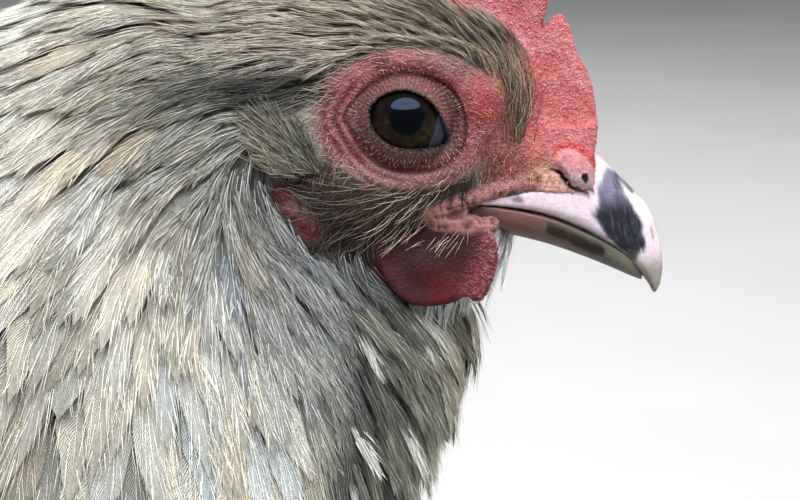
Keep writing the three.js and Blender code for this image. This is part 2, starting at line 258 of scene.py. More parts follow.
COMB = rounded([
    (25.4, -7), (26.8, -2.5), (27.1, 1.0), (26.3, 6.0), (24.3, 9.4), (23.0, 14.5), (21.6, 15.3), (19.0, 12.2),
    (20.3, 15.5), (21.2, 20), (18.2, 27.6), (14.4, 21), (11.6, 21), (8.6, 34.0), (5.0, 24), (1.6, 23.6),
    (-2.6, 35.4), (-6.2, 25), (-9.2, 24.4), (-13.6, 31.0), (-16.6, 23.6), (-21.5, 22.6), (-22, 16), (-8, 10),
    (14, -2), (22, -8)], 2)
WATTLE = rounded([
    (-3.6, -12), (-4.6, -18.2), (-2.8, -22.8), (0.2, -25.4), (3.4, -26.0), (6.8, -25.2), (8.8, -24.1),
    (9.6, -25.1), (11.2, -24.7), (12.4, -21.6), (13.1, -18.6), (12.2, -15.5), (9.5, -13), (4, -11)], 1)
FLAP = rounded([
    (20.6, -6.3), (20.9, -4.9), (22.3, -4.0), (24.2, -4.4), (25.9, -6.0), (26.6, -8.2), (26.0, -9.4), (24.8, -9.4),
    (23.3, -8.6), (22.3, -7.1), (21.3, -6.5)], 2)
# The gap between the lids, and the crease that runs round them to a corner at the back.
OPENING = rounded([
    (-4.75, 0.76), (-4.15, 2.35), (-2.55, 3.45), (-0.8, 3.95), (1.0, 3.85), (2.8, 2.95), (4.2, 1.5), (5.1, -0.1),
    (5.75, -1.8), (5.9, -3.1), (4.6, -3.45), (2.8, -3.7), (0.8, -3.85), (-1.1, -3.6), (-2.95, -2.7),
    (-4.15, -1.2)], 1)
LID_LINE = rounded([
    (-8.3, 0.4), (-7.0, 2.6), (-4.8, 4.7), (-2.2, 6.1), (0.1, 6.4), (2.5, 6.15), (4.9, 5.0), (6.8, 3.5), (7.9, 1.5),
    (8.2, -1.1), (7.7, -3.9), (5.9, -6.1), (3.2, -7.0), (0.4, -7.0), (-2.3, -6.4), (-4.3, -5.4), (-6.2, -2.9),
    (-7.6, -0.9)], 1)
SLIT = [(20.3, -6.9), (21.3, -7.2), (22.2, -8.1), (23.2, -9.3), (24.8, -10.0), (26.2, -9.9)]
# The bare ring round the eye: its middle and half its sizes.
RING_X, RING_Z, RING_LONG, RING_HIGH = 0.8, 0.1, 13.6, 9.9


def skull(p):
    """The head's main masses, without its bare flesh."""
    d = ellipsoid(p, (-9, 0, 2), (20, 14.2, 16.8))
    d = join(d, ellipsoid(p, (5, 0, 2.5), (14.5, 11.2, 13.5)), 3)
    d = join(d, ellipsoid(p, (1, 0, -6), (17, 12.4, 11)), 3)
    d = join(d, capsule(p, (8, 0, -5.0), (23, 0, -7.6), 8.2, 4.2), 3)
    d = join(d, capsule(p, (6, 0, 2), (23.4, 0, -4.2), 6.2, 3.0), 2.5)
    d = join(d, capsule(p, (-8, 0, -14.6), (12, 0, -12.2), 7.6, 4.1), 3)
    d = join(d, ellipsoid(p, (-14, 0, -16), (17, 12.4, 14)), 5)
    d = join(d, capsule(p, (-16, 0, -10), (-34, 0, -28), 14, 19), 6)
    return join(d, ellipsoid(p, (-6, 8.4, -9.5), (11, 5.0, 6.5)), 3)


def eye_ring(p):
    """The puffed ring of bare skin round the lids, fullest above and in front."""
    x, y, z = p.T
    ring = np.hypot(np.hypot(x / 1.14, z / 0.9) - 8.3, y - 11.9) - 2.15
    ring = join(ring, ellipsoid(p, (10.4, 11.0, 3.2), (3.2, 2.7, 5.4)), 1.6)
    return join(ring, ellipsoid(p, (2.5, 12.3, 8.4), (8.0, 2.2, 1.9)), 1.6)


def mouth_folds(p):
    """The lip at the corner of the mouth, its lower fold, and the line of flesh along the horn's top edge."""
    d = capsule(p, (3.9, 9.8, -12.5), (10.0, 9.0, -10.7), 1.35, 0.8)
    d = join(d, capsule(p, (10.0, 9.0, -10.5), (18.0, 7.9, -8.5), 0.85, 0.5), 0.6)
    d = join(d, capsule(p, (4.6, 9.6, -13.7), (9.0, 9.1, -14.6), 0.8, 0.65), 0.3)
    return join(d, capsule(p, (9.0, 9.1, -14.6), (12.3, 8.5, -14.2), 0.65, 0.8), 0.3)


def cere_width(x):
    """Half the width of the flesh that caps the horn's base."""
    return np.interp(x, [9, 19, 24, 27], [8.7, 8.2, 7.3, 5.9])


def cere(p):
    x, y, z = p.T
    side = y - cere_width(x) + 0.11 * np.maximum(z + 8, 0) ** 1.3
    d = shared(side, -10.2 + 0.4 * smoothstep(22, 17, x) - z, 0.7)
    return np.maximum(shared(d, x - 26.5, 0.8), np.maximum(z + 1, 10 - x))


def nostril_flap(p):
    x, y, z = p.T
    swell = cere_width(x) + 0.25 + 0.75 * np.exp(-((x - 24.2) ** 2 + (z + 7.2) ** 2) / 8)
    return shared(outline_distance(x, z, FLAP), y - swell, 0.8)


def slit_distance(x, z):
    """Distance in side view from the slit under the nostril's flap."""
    widths = np.interp(x, [20.2, 22, 25, 26.4], [0.14, 0.32, 0.3, 0.16])
    return np.min([side_capsule(x, z, a, b, 0) - widths for a, b in zip(SLIT, SLIT[1:])], axis=0)


def nostril_slit(p):
    x, y, z = p.T
    return np.maximum(slit_distance(x, z), cere_width(x) - 1.0 - y)


def comb_blade(p):
    x, y, z = p.T
    half = 1.15 + 2.2 * smoothstep(20, 0, z) ** 1.5 + 1.2 * smoothstep(4, -7, z)
    return shared(np.abs(y) - half, outline_distance(x, z, COMB), 1.1)


def wattle_lobe(p):
    x, y, z = p.T
    middle = 8.2 + 0.09 * (-12 - z)
    flat = np.abs(y - middle) - (1.5 - 0.035 * np.clip(-12 - z, 0, 14))
    return shared(flat, outline_distance(x, z, WATTLE), 1.0)


def ear_strip(p):
    return capsule(p, (-19.3, 14.6, -7.0), (-12.9, 12.9, -15.1), 1.2, 1.5)


def lid_gap(p):
    """The space between the lids, drawn out to a corner low in front."""
    x, y, z = p.T
    return np.maximum(outline_distance(x, z, OPENING), 8.5 + 3.9 * smoothstep(4.5, 5.4, x) - y)


def head_field(points):
    """All the head's flesh. The lids are a thin cap over the eyeball, open between their edges."""
    p = one_sided(points)
    d = join(skull(p), eye_ring(p), 1.8)
    d = join(d, cere(p), 0.6)
    d = join(d, mouth_folds(p), 0.7)
    d = join(d, nostril_flap(p), 0.5)
    d = carve(d, nostril_slit(p), 0.3)
    d = join(d, ear_strip(p), 1.0)
    lids = np.linalg.norm(p - np.array([0, EYE_OUT, 0]), axis=1) - (EYE_RADIUS + 0.78)
    d = carve(join(d, lids, 0.7), lid_gap(p), 0.5)
    d = join(d, comb_blade(p), 1.8)
    return join(d, wattle_lobe(p), 1.0)


# ---- Meshes from fields and arrays ----

def grid_of(*axes):
    return np.stack(np.meshgrid(*axes, indexing="ij"), axis=-1)


def half_field_mesh(field, low, high, step):
    """Meshes a field that is the same on both sides of y = 0, between two corners in millimetres."""
    sizes = [int(round((b - a) / step)) + 1 for a, b in zip(low, high)]
    half = sizes[1] // 2
    along, up = (low[k] + step * np.arange(sizes[k]) for k in (0, 2))
    grid = grid_of(along, step * np.arange(half + 1), up)
    values = np.concatenate([field(part) for part in np.array_split(grid.reshape(-1, 3), 24)])
    values = values.reshape(grid.shape[:3])
    both = np.concatenate([values[:, :0:-1], values], axis=1)
    return level_mesh(both, np.array([low[0], -half * step, low[2]]), step)


def level_mesh(values, low, step):
    volume = vdb.FloatGrid(background=float(values.max()))
    volume.copyFromArray(np.ascontiguousarray(values, np.float32))
    volume.transform = vdb.createLinearTransform(voxelSize=step)
    points, quads = volume.convertToQuads(isovalue=0)
    return points.astype(float) + low, quads


def in_scene(name, data):
    made = bpy.data.objects.new(name, data)
    bpy.context.scene.collection.objects.link(made)
    return made


def new_mesh(name, points, *face_groups):
    """A mesh object from points in metres and groups of faces, each group with one number of corners."""
    mesh = bpy.data.meshes.new(name)
    corners = np.concatenate([group.reshape(-1) for group in face_groups])
    sizes = np.concatenate([np.full(len(group), group.shape[1]) for group in face_groups])
    mesh.vertices.add(len(points))
    mesh.vertices.foreach_set("co", points.astype(np.float32).reshape(-1))
    mesh.loops.add(len(corners))
    mesh.loops.foreach_set("vertex_index", corners.astype(np.int32))
    mesh.polygons.add(len(sizes))
    mesh.polygons.foreach_set("loop_start", (np.cumsum(sizes) - sizes).astype(np.int32))
    mesh.update(calc_edges=True)
    mesh.validate()
    mesh.shade_smooth()
    return in_scene(name, mesh)


def ring_quads(rows, around):
    """The faces between rows of points, each row closed on itself."""
    i, j = np.meshgrid(np.arange(rows - 1), np.arange(around), indexing="ij")
    after = (j + 1) % around
    quads = [i * around + j, i * around + after, (i + 1) * around + after, (i + 1) * around + j]
    return np.stack(quads, axis=-1).reshape(-1, 4)


def paint(piece, name, values):
    """Stores a number or a colour for each point of a piece."""
    if values.ndim == 1:
        store = piece.data.attributes.new(name, "FLOAT", "POINT")
        store.data.foreach_set("value", values.astype(np.float32))
    else:
        store = piece.data.color_attributes.new(name, "FLOAT_COLOR", "POINT")
        full = np.concatenate([np.clip(values, 0, 1), np.ones((len(values), 1))], axis=1)
        store.data.foreach_set("color", full.astype(np.float32).reshape(-1))


def spots(mesh):
    """A mesh's points."""
    points = np.empty(len(mesh.vertices) * 3, np.float32)
    mesh.vertices.foreach_get("co", points)
    return points.reshape(-1, 3).astype(float)


def triangles_of(mesh):
    mesh.calc_loop_triangles()
    triangles = np.empty(len(mesh.loop_triangles) * 3, np.int32)
    mesh.loop_triangles.foreach_get("vertices", triangles)
    return triangles.reshape(-1, 3)


def evaluated(piece):
    """A piece's mesh as its modifiers leave it. The modifiers are taken away."""
    bpy.context.view_layer.update()
    mesh = bpy.data.meshes.new_from_object(piece.evaluated_get(bpy.context.evaluated_depsgraph_get()))
    piece.modifiers.clear()
    mesh.materials.clear()
    return mesh


# ---- The body's skin ----

FLESH = ["head", "neck_upper", "neck_lower", "breast", "belly", "tail_cushion"] + [
    f"{part}_{side}" for side in SIDES for part in ("wing_coverts", "wing_secondaries", "thigh")]
SHANK_RADIUS = 5.2
TOE_THICKEST = 8
SKIN_OVER_FLOOR = 0.25


def level_set(points, triangles, step, outside, inside):
    return vdb.FloatGrid.createLevelSetFromPolygons(
        points.astype(np.float32), triangles=triangles.astype(np.uint32),
        transform=vdb.createLinearTransform(voxelSize=step), exBandWidth=outside, inBandWidth=inside)


def coat_depth(points):
    """How deep the coat lies over the skin, in millimetres, at points in metres."""
    reach = np.linalg.norm(to_head(points) * np.array([1, 1, 0.9]), axis=1)
    return 2.2 + 3.6 * smoothstep(26, 60, reach) + 2.2 * smoothstep(70, 140, reach)


def softened(values):
    for axis in range(3):
        values = (np.roll(values, 1, axis) + 2 * values + np.roll(values, -1, axis)) / 4
    return values


def largest_part(count, faces):
    """The faces of the largest connected part."""
    label = np.arange(count)
    while True:
        before = label.copy()
        low = label[faces].min(axis=1)
        for corner in range(3):
            np.minimum.at(label, faces[:, corner], low)
        label = label[label]
        if (label == before).all():
            break
    names, sizes = np.unique(label[faces[:, 0]], return_counts=True)
    return faces[label[faces[:, 0]] == names[sizes.argmax()]]


def body_skin(step=2.2):
    """The body's skin: the outside of the feathered solids, drawn in by the depth of the coat."""
    points, triangles, count = [], [], 0
    for node in FLESH:
        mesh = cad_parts[node].data
        points.append(spots(mesh) / MM)
        triangles.append(triangles_of(mesh) + count)
        count += len(points[-1])
    outer = level_set(np.concatenate(points), np.concatenate(triangles), 1.5, 3, 3)
    shell, quads = outer.convertToQuads(isovalue=0)
    faces = np.concatenate([quads[:, [0, 1, 2]], quads[:, [0, 2, 3]]])
    solid = level_set(shell.astype(float), largest_part(len(shell), faces), step, 3, 9)
    start = np.round((np.array(CAD_BOX[0]) / MM - 12) / step).astype(int)
    shape = np.ceil((np.array(CAD_BOX[1]) / MM + 12) / step).astype(int) - start
    values = np.empty(shape, np.float32)
    solid.copyToArray(values, ijk=tuple(int(i) for i in start))
    values = softened(softened(values.astype(float)))
    grid = grid_of(*[np.arange(n) for n in shape]) + start
    depth = coat_depth(grid.reshape(-1, 3) * step * MM).reshape(shape)
    return level_mesh(values + depth, start * step, step)


def axis_of(node):
    """The two ends of a long node's middle line, and its thickness across, in millimetres."""
    points = spots(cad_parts[node].data) / MM
    middle = points.mean(axis=0)
    along = np.linalg.svd(points - middle, full_matrices=False)[2][0]
    along *= np.sign(along[0]) or 1
    reach = (points - middle) @ along
    return middle + along * reach.min(), middle + along * reach.max(), np.ptp(points[:, 2])


def leg_nodes(side):
    return [f"shank_{side}"] + [f"toe_{toe}_{side}" for toe in TOES]


def toe_radius(thick):
    return min(thick, TOE_THICKEST) / 2 - 0.3


def leg_field(side):
    """One folded leg: the shank up into the thigh, and toes with their knuckle pads."""
    hock, ankle = axis_of(f"shank_{side}")[:2]
    inner = (hock + np.array([42, 0, 26]), hock + np.array([5, 0, 1]))
    toes = []
    for node in leg_nodes(side)[1:]:
        start, end, thick = axis_of(node)
        if np.linalg.norm(start - ankle) > np.linalg.norm(end - ankle):
            start, end = end, start
        toes.append((start, end, toe_radius(thick)))

    def field(p):
        d = capsule(p, *inner, 9, 6)
        d = join(d, capsule(p, inner[1], ankle, SHANK_RADIUS, SHANK_RADIUS - 0.4), 2)
        for start, end, r in toes:
            d = join(d, capsule(p, ankle * 0.75 + start * 0.25, start, SHANK_RADIUS - 0.8, r), 2)
            d = join(d, capsule(p, start, end, r, r * 0.72), 1.2)
            for share in (0.3, 0.62, 0.92):
                pad = start * (1 - share) + end * share - np.array([0, 0, 0.5])
                d = join(d, np.linalg.norm(p - pad, axis=1) - r * (1.04 - 0.22 * share), 0.8)
        return np.maximum(d, SKIN_OVER_FLOOR - p[:, 2])
    return field


def leg_skin(side, step=1.1):
    boxes = np.array([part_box(node) for node in leg_nodes(side)]) / MM
    low, high = boxes[:, 0].min(axis=0) - 6, boxes[:, 1].max(axis=0) + np.array([6, 6, 22])
    grid = grid_of(*[np.arange(a, b + step, step) for a, b in zip(low, high)])
    values = leg_field(side)(grid.reshape(-1, 3)).reshape(grid.shape[:3])
    return level_mesh(values, low, step)


def leg_distance(p):
    near = np.full(len(p), 99.0)
    low = p[:, 2] < 24
    near[low] = np.minimum(*[leg_field(side)(p[low]) for side in SIDES])
    return near


def united(first, others):
    """Joins closed meshes into one."""
    for other in others:
        cut = first.modifiers.new("join", "BOOLEAN")
        cut.operation, cut.solver, cut.object = "UNION", "MANIFOLD", other
    first.data = evaluated(first)
    for other in others:
        bpy.data.objects.remove(other)


# ---- The bare flesh: its folds, grain and colours ----

FLESH_DEPTH = 0.42


def ring_reach(x, z):
    """1 on the edge of the bare ring round the eye, in side view, and less inside it."""
    return np.hypot((x - RING_X) / RING_LONG, (z - RING_Z) / RING_HIGH)


def below_ring(q):
    """Millimetres, in side view, outside the bare ring round the eye."""
    return (ring_reach(q[:, 0], q[:, 2]) - 1) * 11


def face_masks(q):
    """How much each kind of bare flesh covers each point. q is folded over to the left side."""
    x, y, z = q.T
    comb = (1 - smoothstep(0.3, 1.6, comb_blade(q))) * smoothstep(6.5, 4.6, y)
    comb_foot = smoothstep(16.0, 18.4, x - 0.32 * np.maximum(z, -2)) * smoothstep(-7, -3.5, z) * smoothstep(26, 18, z)
    wattle = (1 - smoothstep(0.2, 1.2, wattle_lobe(q))) * smoothstep(-11.5, -14.5, z)
    lip = smoothstep(2.0, 4.0, x) * smoothstep(14, 12.5, x) * smoothstep(-11.9, -12.7, z) * smoothstep(-17.5, -16, z)
    return {
        "comb": np.maximum(comb, comb_foot),
        "wattle": np.maximum(wattle, lip * smoothstep(2.5, 4, y)),
        "lobe": 1 - smoothstep(0.3, 1.0, ear_strip(q)),
        "patch": smoothstep(1.04, 0.93, ring_reach(x, z)) * smoothstep(4, 8, y),
        "lore": smoothstep(8, 11.5, x) * smoothstep(-13, -10, z) * smoothstep(10.5, 5.5, z - 0.1 * x),
        "gape": 1 - smoothstep(0.3, 1.1, mouth_folds(q)),
        "cere": smoothstep(16.5, 19.5, x) * smoothstep(-5.5, -7.5, z) * (1 - smoothstep(0.3, 1.0, cere(q))),
        "flap": (1 - smoothstep(-0.1, 0.4, outline_distance(x, z, FLAP))) * smoothstep(4, 5.5, y) * (x > 19)}


def bareness(masks):
    return np.clip(np.max(list(masks.values()), axis=0), 0, 1)


def lid_edge(q):
    """Distance in side view outside the crease round the lids."""
    return outline_distance(q[:, 0], q[:, 2], LID_LINE)


def ring_grooves(q):
    """The furrows that run round the lower back of the eye's ring."""
    rear = smoothstep(0.25, 0.8, np.cos(np.arctan2(q[:, 2], q[:, 0]) - 3.6))
    reach = lid_edge(q) + 0.22 * noise(q, 3.0, 5)
    return (bell((reach, 1.45, 0.34)) + 0.6 * bell((reach, 2.9, 0.3))) * rear


def lid_pleats(q):
    """Waves across the lids, from -1 to 1, that run out from the eye."""
    return np.sin(np.arctan2(q[:, 2], q[:, 0]) * 66 + 3 * noise(q, 2.2, 33))


def wattle_front(q):
    """1 along the wattle's granular front edge, 0 on its smooth side."""
    return smoothstep(8.2, 11.8, q[:, 0] + 0.25 * (-18 - q[:, 2]))


def flesh_relief(q, masks):
    """How far the bare flesh stands out, in millimetres."""
    x, y, z = q.T
    patch, edge = masks["patch"], lid_edge(q)
    lid = smoothstep(0.2, 0.6, outline_distance(x, z, OPENING)) * smoothstep(0.1, -0.4, edge) * patch
    ring = patch * smoothstep(-0.3, 0.4, edge)
    wavy = np.stack([x, y * 0.5, z], 1) + 0.25 * np.stack([noise(q, 1.4, s) for s in (1, 2, 3)], 1)
    out = masks["comb"] * (0.19 * knobs(wavy, 0.55, 11) - 0.06 + 0.12 * noise(q, 2.6, 12))
    out += masks["wattle"] * (0.26 * wattle_front(q) * knobs(q, 0.55, 21) + 0.16 * noise(q, 3.4, 23))
    out += masks["lobe"] * 0.16 * noise(q * [1, 1, 1.6], 1.5, 24)
    out += ring * (0.15 * knobs(wavy, 0.6, 31) + 0.17 * noise(q, 1.9, 32) - 0.5 * ring_grooves(q))
    out -= patch * 0.42 * bell((edge, 0, 0.24 + 0.14 * smoothstep(1.5, -3.0, z)))
    out += lid * 0.08 * lid_pleats(q)
    lore = masks["lore"] * (1 - patch) * (1 - masks["comb"])
    out += lore * (0.2 * knobs(q * [1.4, 1, 0.8], 0.8, 41) + 0.14 * noise(q, 2.2, 42))
    creases = np.sin(x * 3.6 + 1.2 * z + 5.5 * noise(q, 2.0, 43))
    out += masks["gape"] * (0.1 * creases + 0.17 * noise(q * [0.6, 1, 1.4], 0.9, 44))
    wrinkles = np.sin(z * 8.5 + 1.1 * x + 2.4 * noise(q, 1.8, 45))
    out += masks["cere"] * (1 - masks["flap"]) * 0.05 * wrinkles
    flap_rim = bell((outline_distance(x, z, FLAP), 0.75, 0.45))
    return out + 0.14 * flap_rim * smoothstep(-7.5, -5.5, z - 0.5 * (x - 25)) * (x > 19) * (y > 4)


def ring_colour(q, relief, speck, broad):
    x, y, z = q.T
    # The knobs are painted paler, a painted highlight mixed with real speckle; the grooves are painted deeper red, a
    # painted shade, over real blotches; the top front is painted paler, a painted highlight where light falls from
    # above.
    return wash(
        RED, (PALE_RED, np.clip(0.25 + 1.6 * relief + 0.5 * (speck - 0.5), 0, 0.9)),
        (DEEP_RED, np.clip(0.55 * smoothstep(0.55, 0.85, broad) + 0.8 * ring_grooves(q), 0, 0.9)),
        ((240, 190, 184), 0.5 * bell((x, 7.5, 5.5), (z, 8.2, 2.2))),
        (PALE_RED, 0.75 * smoothstep(-4.5, -7.5, z) + 0.15 * smoothstep(-6, -9, x)),
        ((206, 62, 60), 0.65 * np.exp(-((x - 10.8) ** 2 + (z - 2.4) ** 2) / 9)))


def lore_colour(q, relief, speck, broad):
    x, y, z = q.T
    # Raised bumps are painted paler: painted highlight.
    return wash(
        LORE_BROWN, (RED, smoothstep(0.4, 0.8, broad) * 0.5), ((80, 42, 32), 0.35 * smoothstep(0.55, 0.2, broad)),
        ((120, 78, 66), 0.6 * smoothstep(14.5, 10.5, x) * smoothstep(-3, -6, z)),
        ((206, 138, 118), 0.45 * smoothstep(0.06, 0.26, relief)),
        ((230, 158, 136), 0.5 * smoothstep(-3, 2.5, z) * smoothstep(0.25, 0.6, speck)))


def lid_colour(q):
    # The crests of the pleats are painted paler: painted highlight.
    return wash(LID_PINK, (LID_GREY, smoothstep(1.2, -2.4, q[:, 2] + 0.35 * q[:, 0])),
                ((196, 148, 136), 0.45 * np.clip(lid_pleats(q), 0, 1)))


def comb_colour(q, relief, speck, broad):
    x, y, z = q.T
    folds = smoothstep(0.55, 0.95, np.sin(1.5 * z + 1.15 * x + 1.6 * noise(q, 3.0, 55)))
    # Raised papillae are painted paler, a painted highlight mixed with real speckle.
    return wash(
        COMB_PINK, ((255, 190, 192), np.clip(3.4 * relief + 0.4 * (speck - 0.5), 0, 0.9)),
        ((220, 78, 84), 0.4 * smoothstep(0.42, 0.85, broad)),
        ((222, 66, 68), 0.45 * folds * smoothstep(-3, 0, z) * smoothstep(9, 5, z) * (x > 17)))


def wattle_colour(q, relief, broad):
    x, y, z = q.T
    front = wattle_front(q)
    # The granular front's knobs are painted paler, a painted highlight; the top at the back, under the mouth's lip,
    # is painted darker, a painted shade.
    return wash(
        MAROON, ((66, 14, 18), 0.6 * broad),
        ((100, 48, 60), 0.35 * smoothstep(0.5, 0.8, noise(q, 1.1, 54)) * (1 - front)),
        ((132, 32, 34), 0.7 * smoothstep(-18, -24, z) * smoothstep(0, 6, x)),
        ((108, 50, 66), 0.5 * smoothstep(-0.6, -3.6, x + 0.62 * (z + 18))),
        ((44, 15, 14), 0.65 * smoothstep(-18, -14, z) * smoothstep(8, 5, x)),
        ((196, 84, 92), 0.45 * front), ((240, 172, 178), front * np.clip(3.4 * relief, 0, 0.85)))


def lobe_colour(q, broad):
    return wash(LOBE_RED, (RED, 0.3 * smoothstep(0.5, 0.9, broad)),
                ((140, 100, 86), 0.7 * bell((q[:, 2], -11.8, 1.6))))


def nostril_layers(q):
    """The flap over the nostril's rim, dark spot, and the slit darkened with painted shade."""
    x, y, z = q.T
    ridge = bell((outline_distance(x, z, FLAP), 0.7, 0.55)) * smoothstep(-10.0, -7.5, z + 0.5 * (x - 25))
    spot = smoothstep(1.0, 0.75, np.hypot((x - 25.1) / 0.62, (z + 8.0) / 0.8) + 0.25 * noise(q, 0.6, 53))
    # The slit is painted dark: painted shade in the recess.
    slit = smoothstep(0.25, -0.05, nostril_slit(q)) * (x > 19) * (y > 3)
    return [((250, 84, 80), 0.9 * ridge * (x > 20.5) * (y > 4)), ((30, 24, 28), spot * (y > 5)), ((70, 42, 30), slit)]


def flesh_colour(q, masks, relief):
    x, y, z = q.T
    patch, opening, edge = masks["patch"], outline_distance(x, z, OPENING), lid_edge(q)
    speck, broad = noise(q, 0.45, 51) * 0.5 + 0.5, noise(q, 3.2, 52) * 0.5 + 0.5
    low_lid = patch * smoothstep(1.0, 2.2, opening) * smoothstep(0.4, -0.2, edge) * smoothstep(-1.5, -4.0, z)
    above = bell((edge, 0.9, 0.8)) * smoothstep(1.5, 4.5, z)
    # The troughs of the cere's wrinkles are painted darker: painted shade.
    cere_tint = wash(linear(250, 190, 170) * 1.25, ((190, 122, 98), np.clip(-7 * relief, 0, 0.5)))
    flap_tint = wash(NOSTRIL_PINK, ((255, 214, 214), smoothstep(-5.6, -8.6, z)))
    # The creases of the mouth's lip are painted darker: painted shade.
    gape_tint = wash((214, 146, 138), ((104, 50, 48), np.clip(0.15 - 6 * relief, 0, 0.85)))
    return FLESH_DEPTH * wash(
        DOWN_DARK, (SKIN_PINK, 0.25 * broad), (lore_colour(q, relief, speck, broad), masks["lore"]),
        (ring_colour(q, relief, speck, broad), patch), (lid_colour(q), patch * smoothstep(0.3, -0.3, edge)),
        # Painted shade in the crease round the lids.
        (CREASE_SHADE, patch * 0.9 * bell((edge, 0, 0.2 + 0.26 * smoothstep(1.5, -3.0, z)))),
        ((126, 66, 58), low_lid), ((140, 34, 34), 0.6 * patch * above), (RIM, patch * smoothstep(0.5, 0.25, opening)),
        ((84, 86, 102), smoothstep(0.4, 0.15, opening) * smoothstep(4.7, 5.3, x)),
        (comb_colour(q, relief, speck, broad), masks["comb"]), (cere_tint, masks["cere"]), (flap_tint, masks["flap"]),
        *nostril_layers(q), (wattle_colour(q, relief, broad), masks["wattle"]), (gape_tint, masks["gape"]),
        (lobe_colour(q, broad), masks["lobe"] * smoothstep(6, 10, y)))


# ---- The one skin over all the flesh ----

def field_slope(q, here, step):
    return np.stack([head_field(q + step * axis) - here for axis in np.eye(3)], axis=1)


def project(q, rounds=2):
    """Moves points onto the head's surface."""
    for _ in range(rounds):
        here = head_field(q)
        slope = field_slope(q, here, 0.08) / 0.08
        q = q - (np.clip(here, -0.4, 0.4) / np.maximum((slope ** 2).sum(axis=1), 0.25))[:, None] * slope
    return q


def refined(piece, chosen):
    """Splits every face between the chosen points into four."""
    work = bmesh.new()
    work.from_mesh(piece.data)
    work.verts.ensure_lookup_table()
    edges = [edge for edge in work.edges if chosen[edge.verts[0].index] and chosen[edge.verts[1].index]]
    bmesh.ops.subdivide_edges(work, edges=edges, cuts=1, use_grid_fill=True)
    work.to_mesh(piece.data)
    work.free()
    piece.data.shade_smooth()


def bare_skin_mesh():
    """The head, body and legs as one closed mesh, finer where the flesh is bare."""
    points, quads = half_field_mesh(head_field, (-54, -25, -50), (32, 25, 40), 0.5)
    skin = new_mesh("skin", from_head(points), quads)
    others = [("body", body_skin())] + [(f"leg_{side}", leg_skin(side)) for side in SIDES]
    united(skin, [new_mesh(name, points * MM, quads) for name, (points, quads) in others])
    q = one_sided(to_head(spots(skin.data)))
    near = near_head(q)
    refined(skin, only(near, bareness(face_masks(q[near]))) > 0.05)
    return skin


def skin_colour(place, near, folded, masks, relief):
    bare = bareness(masks)
    # The skin under the plumage is painted darker: painted shade for the gaps between feathers.
    tint = plumage(place) * (0.5 * painted_shade(place))[:, None]
    tint[near] = wash(tint[near], (flesh_colour(folded, masks, relief), bare))
    cheek = smoothstep(24, 12, np.linalg.norm(folded - [-2, 10, -14], axis=1)) * (1 - bare)
    cheek *= smoothstep(-22, -18, folded[:, 2])
    # A dark band painted on the skin round the bare ring: painted shade between the ring and the plumage.
    shade_round_ring = smoothstep(9, 3, below_ring(folded)) * (1 - bare)
    legs = smoothstep(22, 16, place[:, 2] / MM) * smoothstep(3, 0, leg_distance(place / MM))
    return wash(tint, (DOWN_DARK, only(near, cheek)), ((58, 46, 36), only(near, shade_round_ring)), (LEG_COLOUR, legs))


def skin_grain(near, folded, masks):
    """How much the material's granules show at each point."""
    grain = np.full(len(near), 0.2)
    smooth = 0.85 * masks["wattle"] * (1 - wattle_front(folded))
    grain[near] = np.clip(bareness(masks) - smooth - 0.6 * masks["lobe"] - 0.7 * masks["flap"] - 0.6 * masks["cere"],
                          0.06, 1)
    return grain


def make_skin():
    skin = bare_skin_mesh()
    place = spots(skin.data)
    q = to_head(place)
    near = near_head(q)
    near[near] = np.abs(head_field(q[near])) < 0.3
    on_head = project(q[near])
    folded = one_sided(on_head)
    masks = face_masks(folded)
    relief = flesh_relief(folded, masks)
    outward = unit(field_slope(on_head, head_field(on_head), 0.1))
    place[near] = from_head(on_head + outward * relief[:, None])
    skin.data.vertices.foreach_set("co", place.astype(np.float32).reshape(-1))
    skin.data.update()
    paint(skin, "tint", skin_colour(place, near, folded, masks, relief))
    paint(skin, "grain", skin_grain(near, folded, masks))
    skin.data.materials.append(skin_material())
    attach(skin, "root")
    hidden = [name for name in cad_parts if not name.startswith(("eye_", "bill_", "claw_"))]
    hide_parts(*hidden)
    return skin


# ---- Bill, eyes and claws ----

# The bill's halves in side view, from the mouth to the tip: how far along, the low edge, the top and half the width.
UPPER_BILL = np.array([
    [9, -11.9, -10.3, 8.4], [14, -12.4, -8.5, 8.2], [19, -13.4, -6.2, 7.9], [24, -15.3, -3.7, 7.1],
    [27.2, -16.9, -4.6, 6.1], [30.6, -18.9, -8.0, 4.9], [33.2, -21.3, -10.6, 3.7], [34.8, -23.2, -12.4, 2.8],
    [35.7, -24.6, -14.4, 2.1], [36.4, -23.6, -16.8, 1.5], [36.8, -21.4, -19.4, 0.8]])
LOWER_BILL = np.array([
    [8, -15.2, -11.2, 8.0], [14, -16.1, -11.9, 7.8], [20, -17.5, -13.2, 7.3], [25, -19.2, -15.3, 6.3],
    [29, -20.8, -17.4, 4.9], [32, -22.1, -19.3, 3.3], [33.8, -22.8, -21.3, 1.6]])
DARK_PATCH = rounded([
    (28.9, -6.5), (27.8, -7.6), (27.2, -9.6), (27.4, -11.8), (26.1, -13.0), (26.8, -14.1), (28.0, -15.5),
    (29.1, -17.0), (31.1, -18.6), (32.7, -20.4), (33.2, -18.8), (34.2, -18.1), (33.9, -16.0), (32.7, -13.0),
    (31.1, -10.8), (30.4, -8.7)], 1)
BILL_DEPTH = 0.62
IRIS_DARK, IRIS_OLIVE, IRIS_GOLD, THIRD_LID = (4, 4, 6), (36, 29, 10), (60, 54, 24), (48, 50, 62)


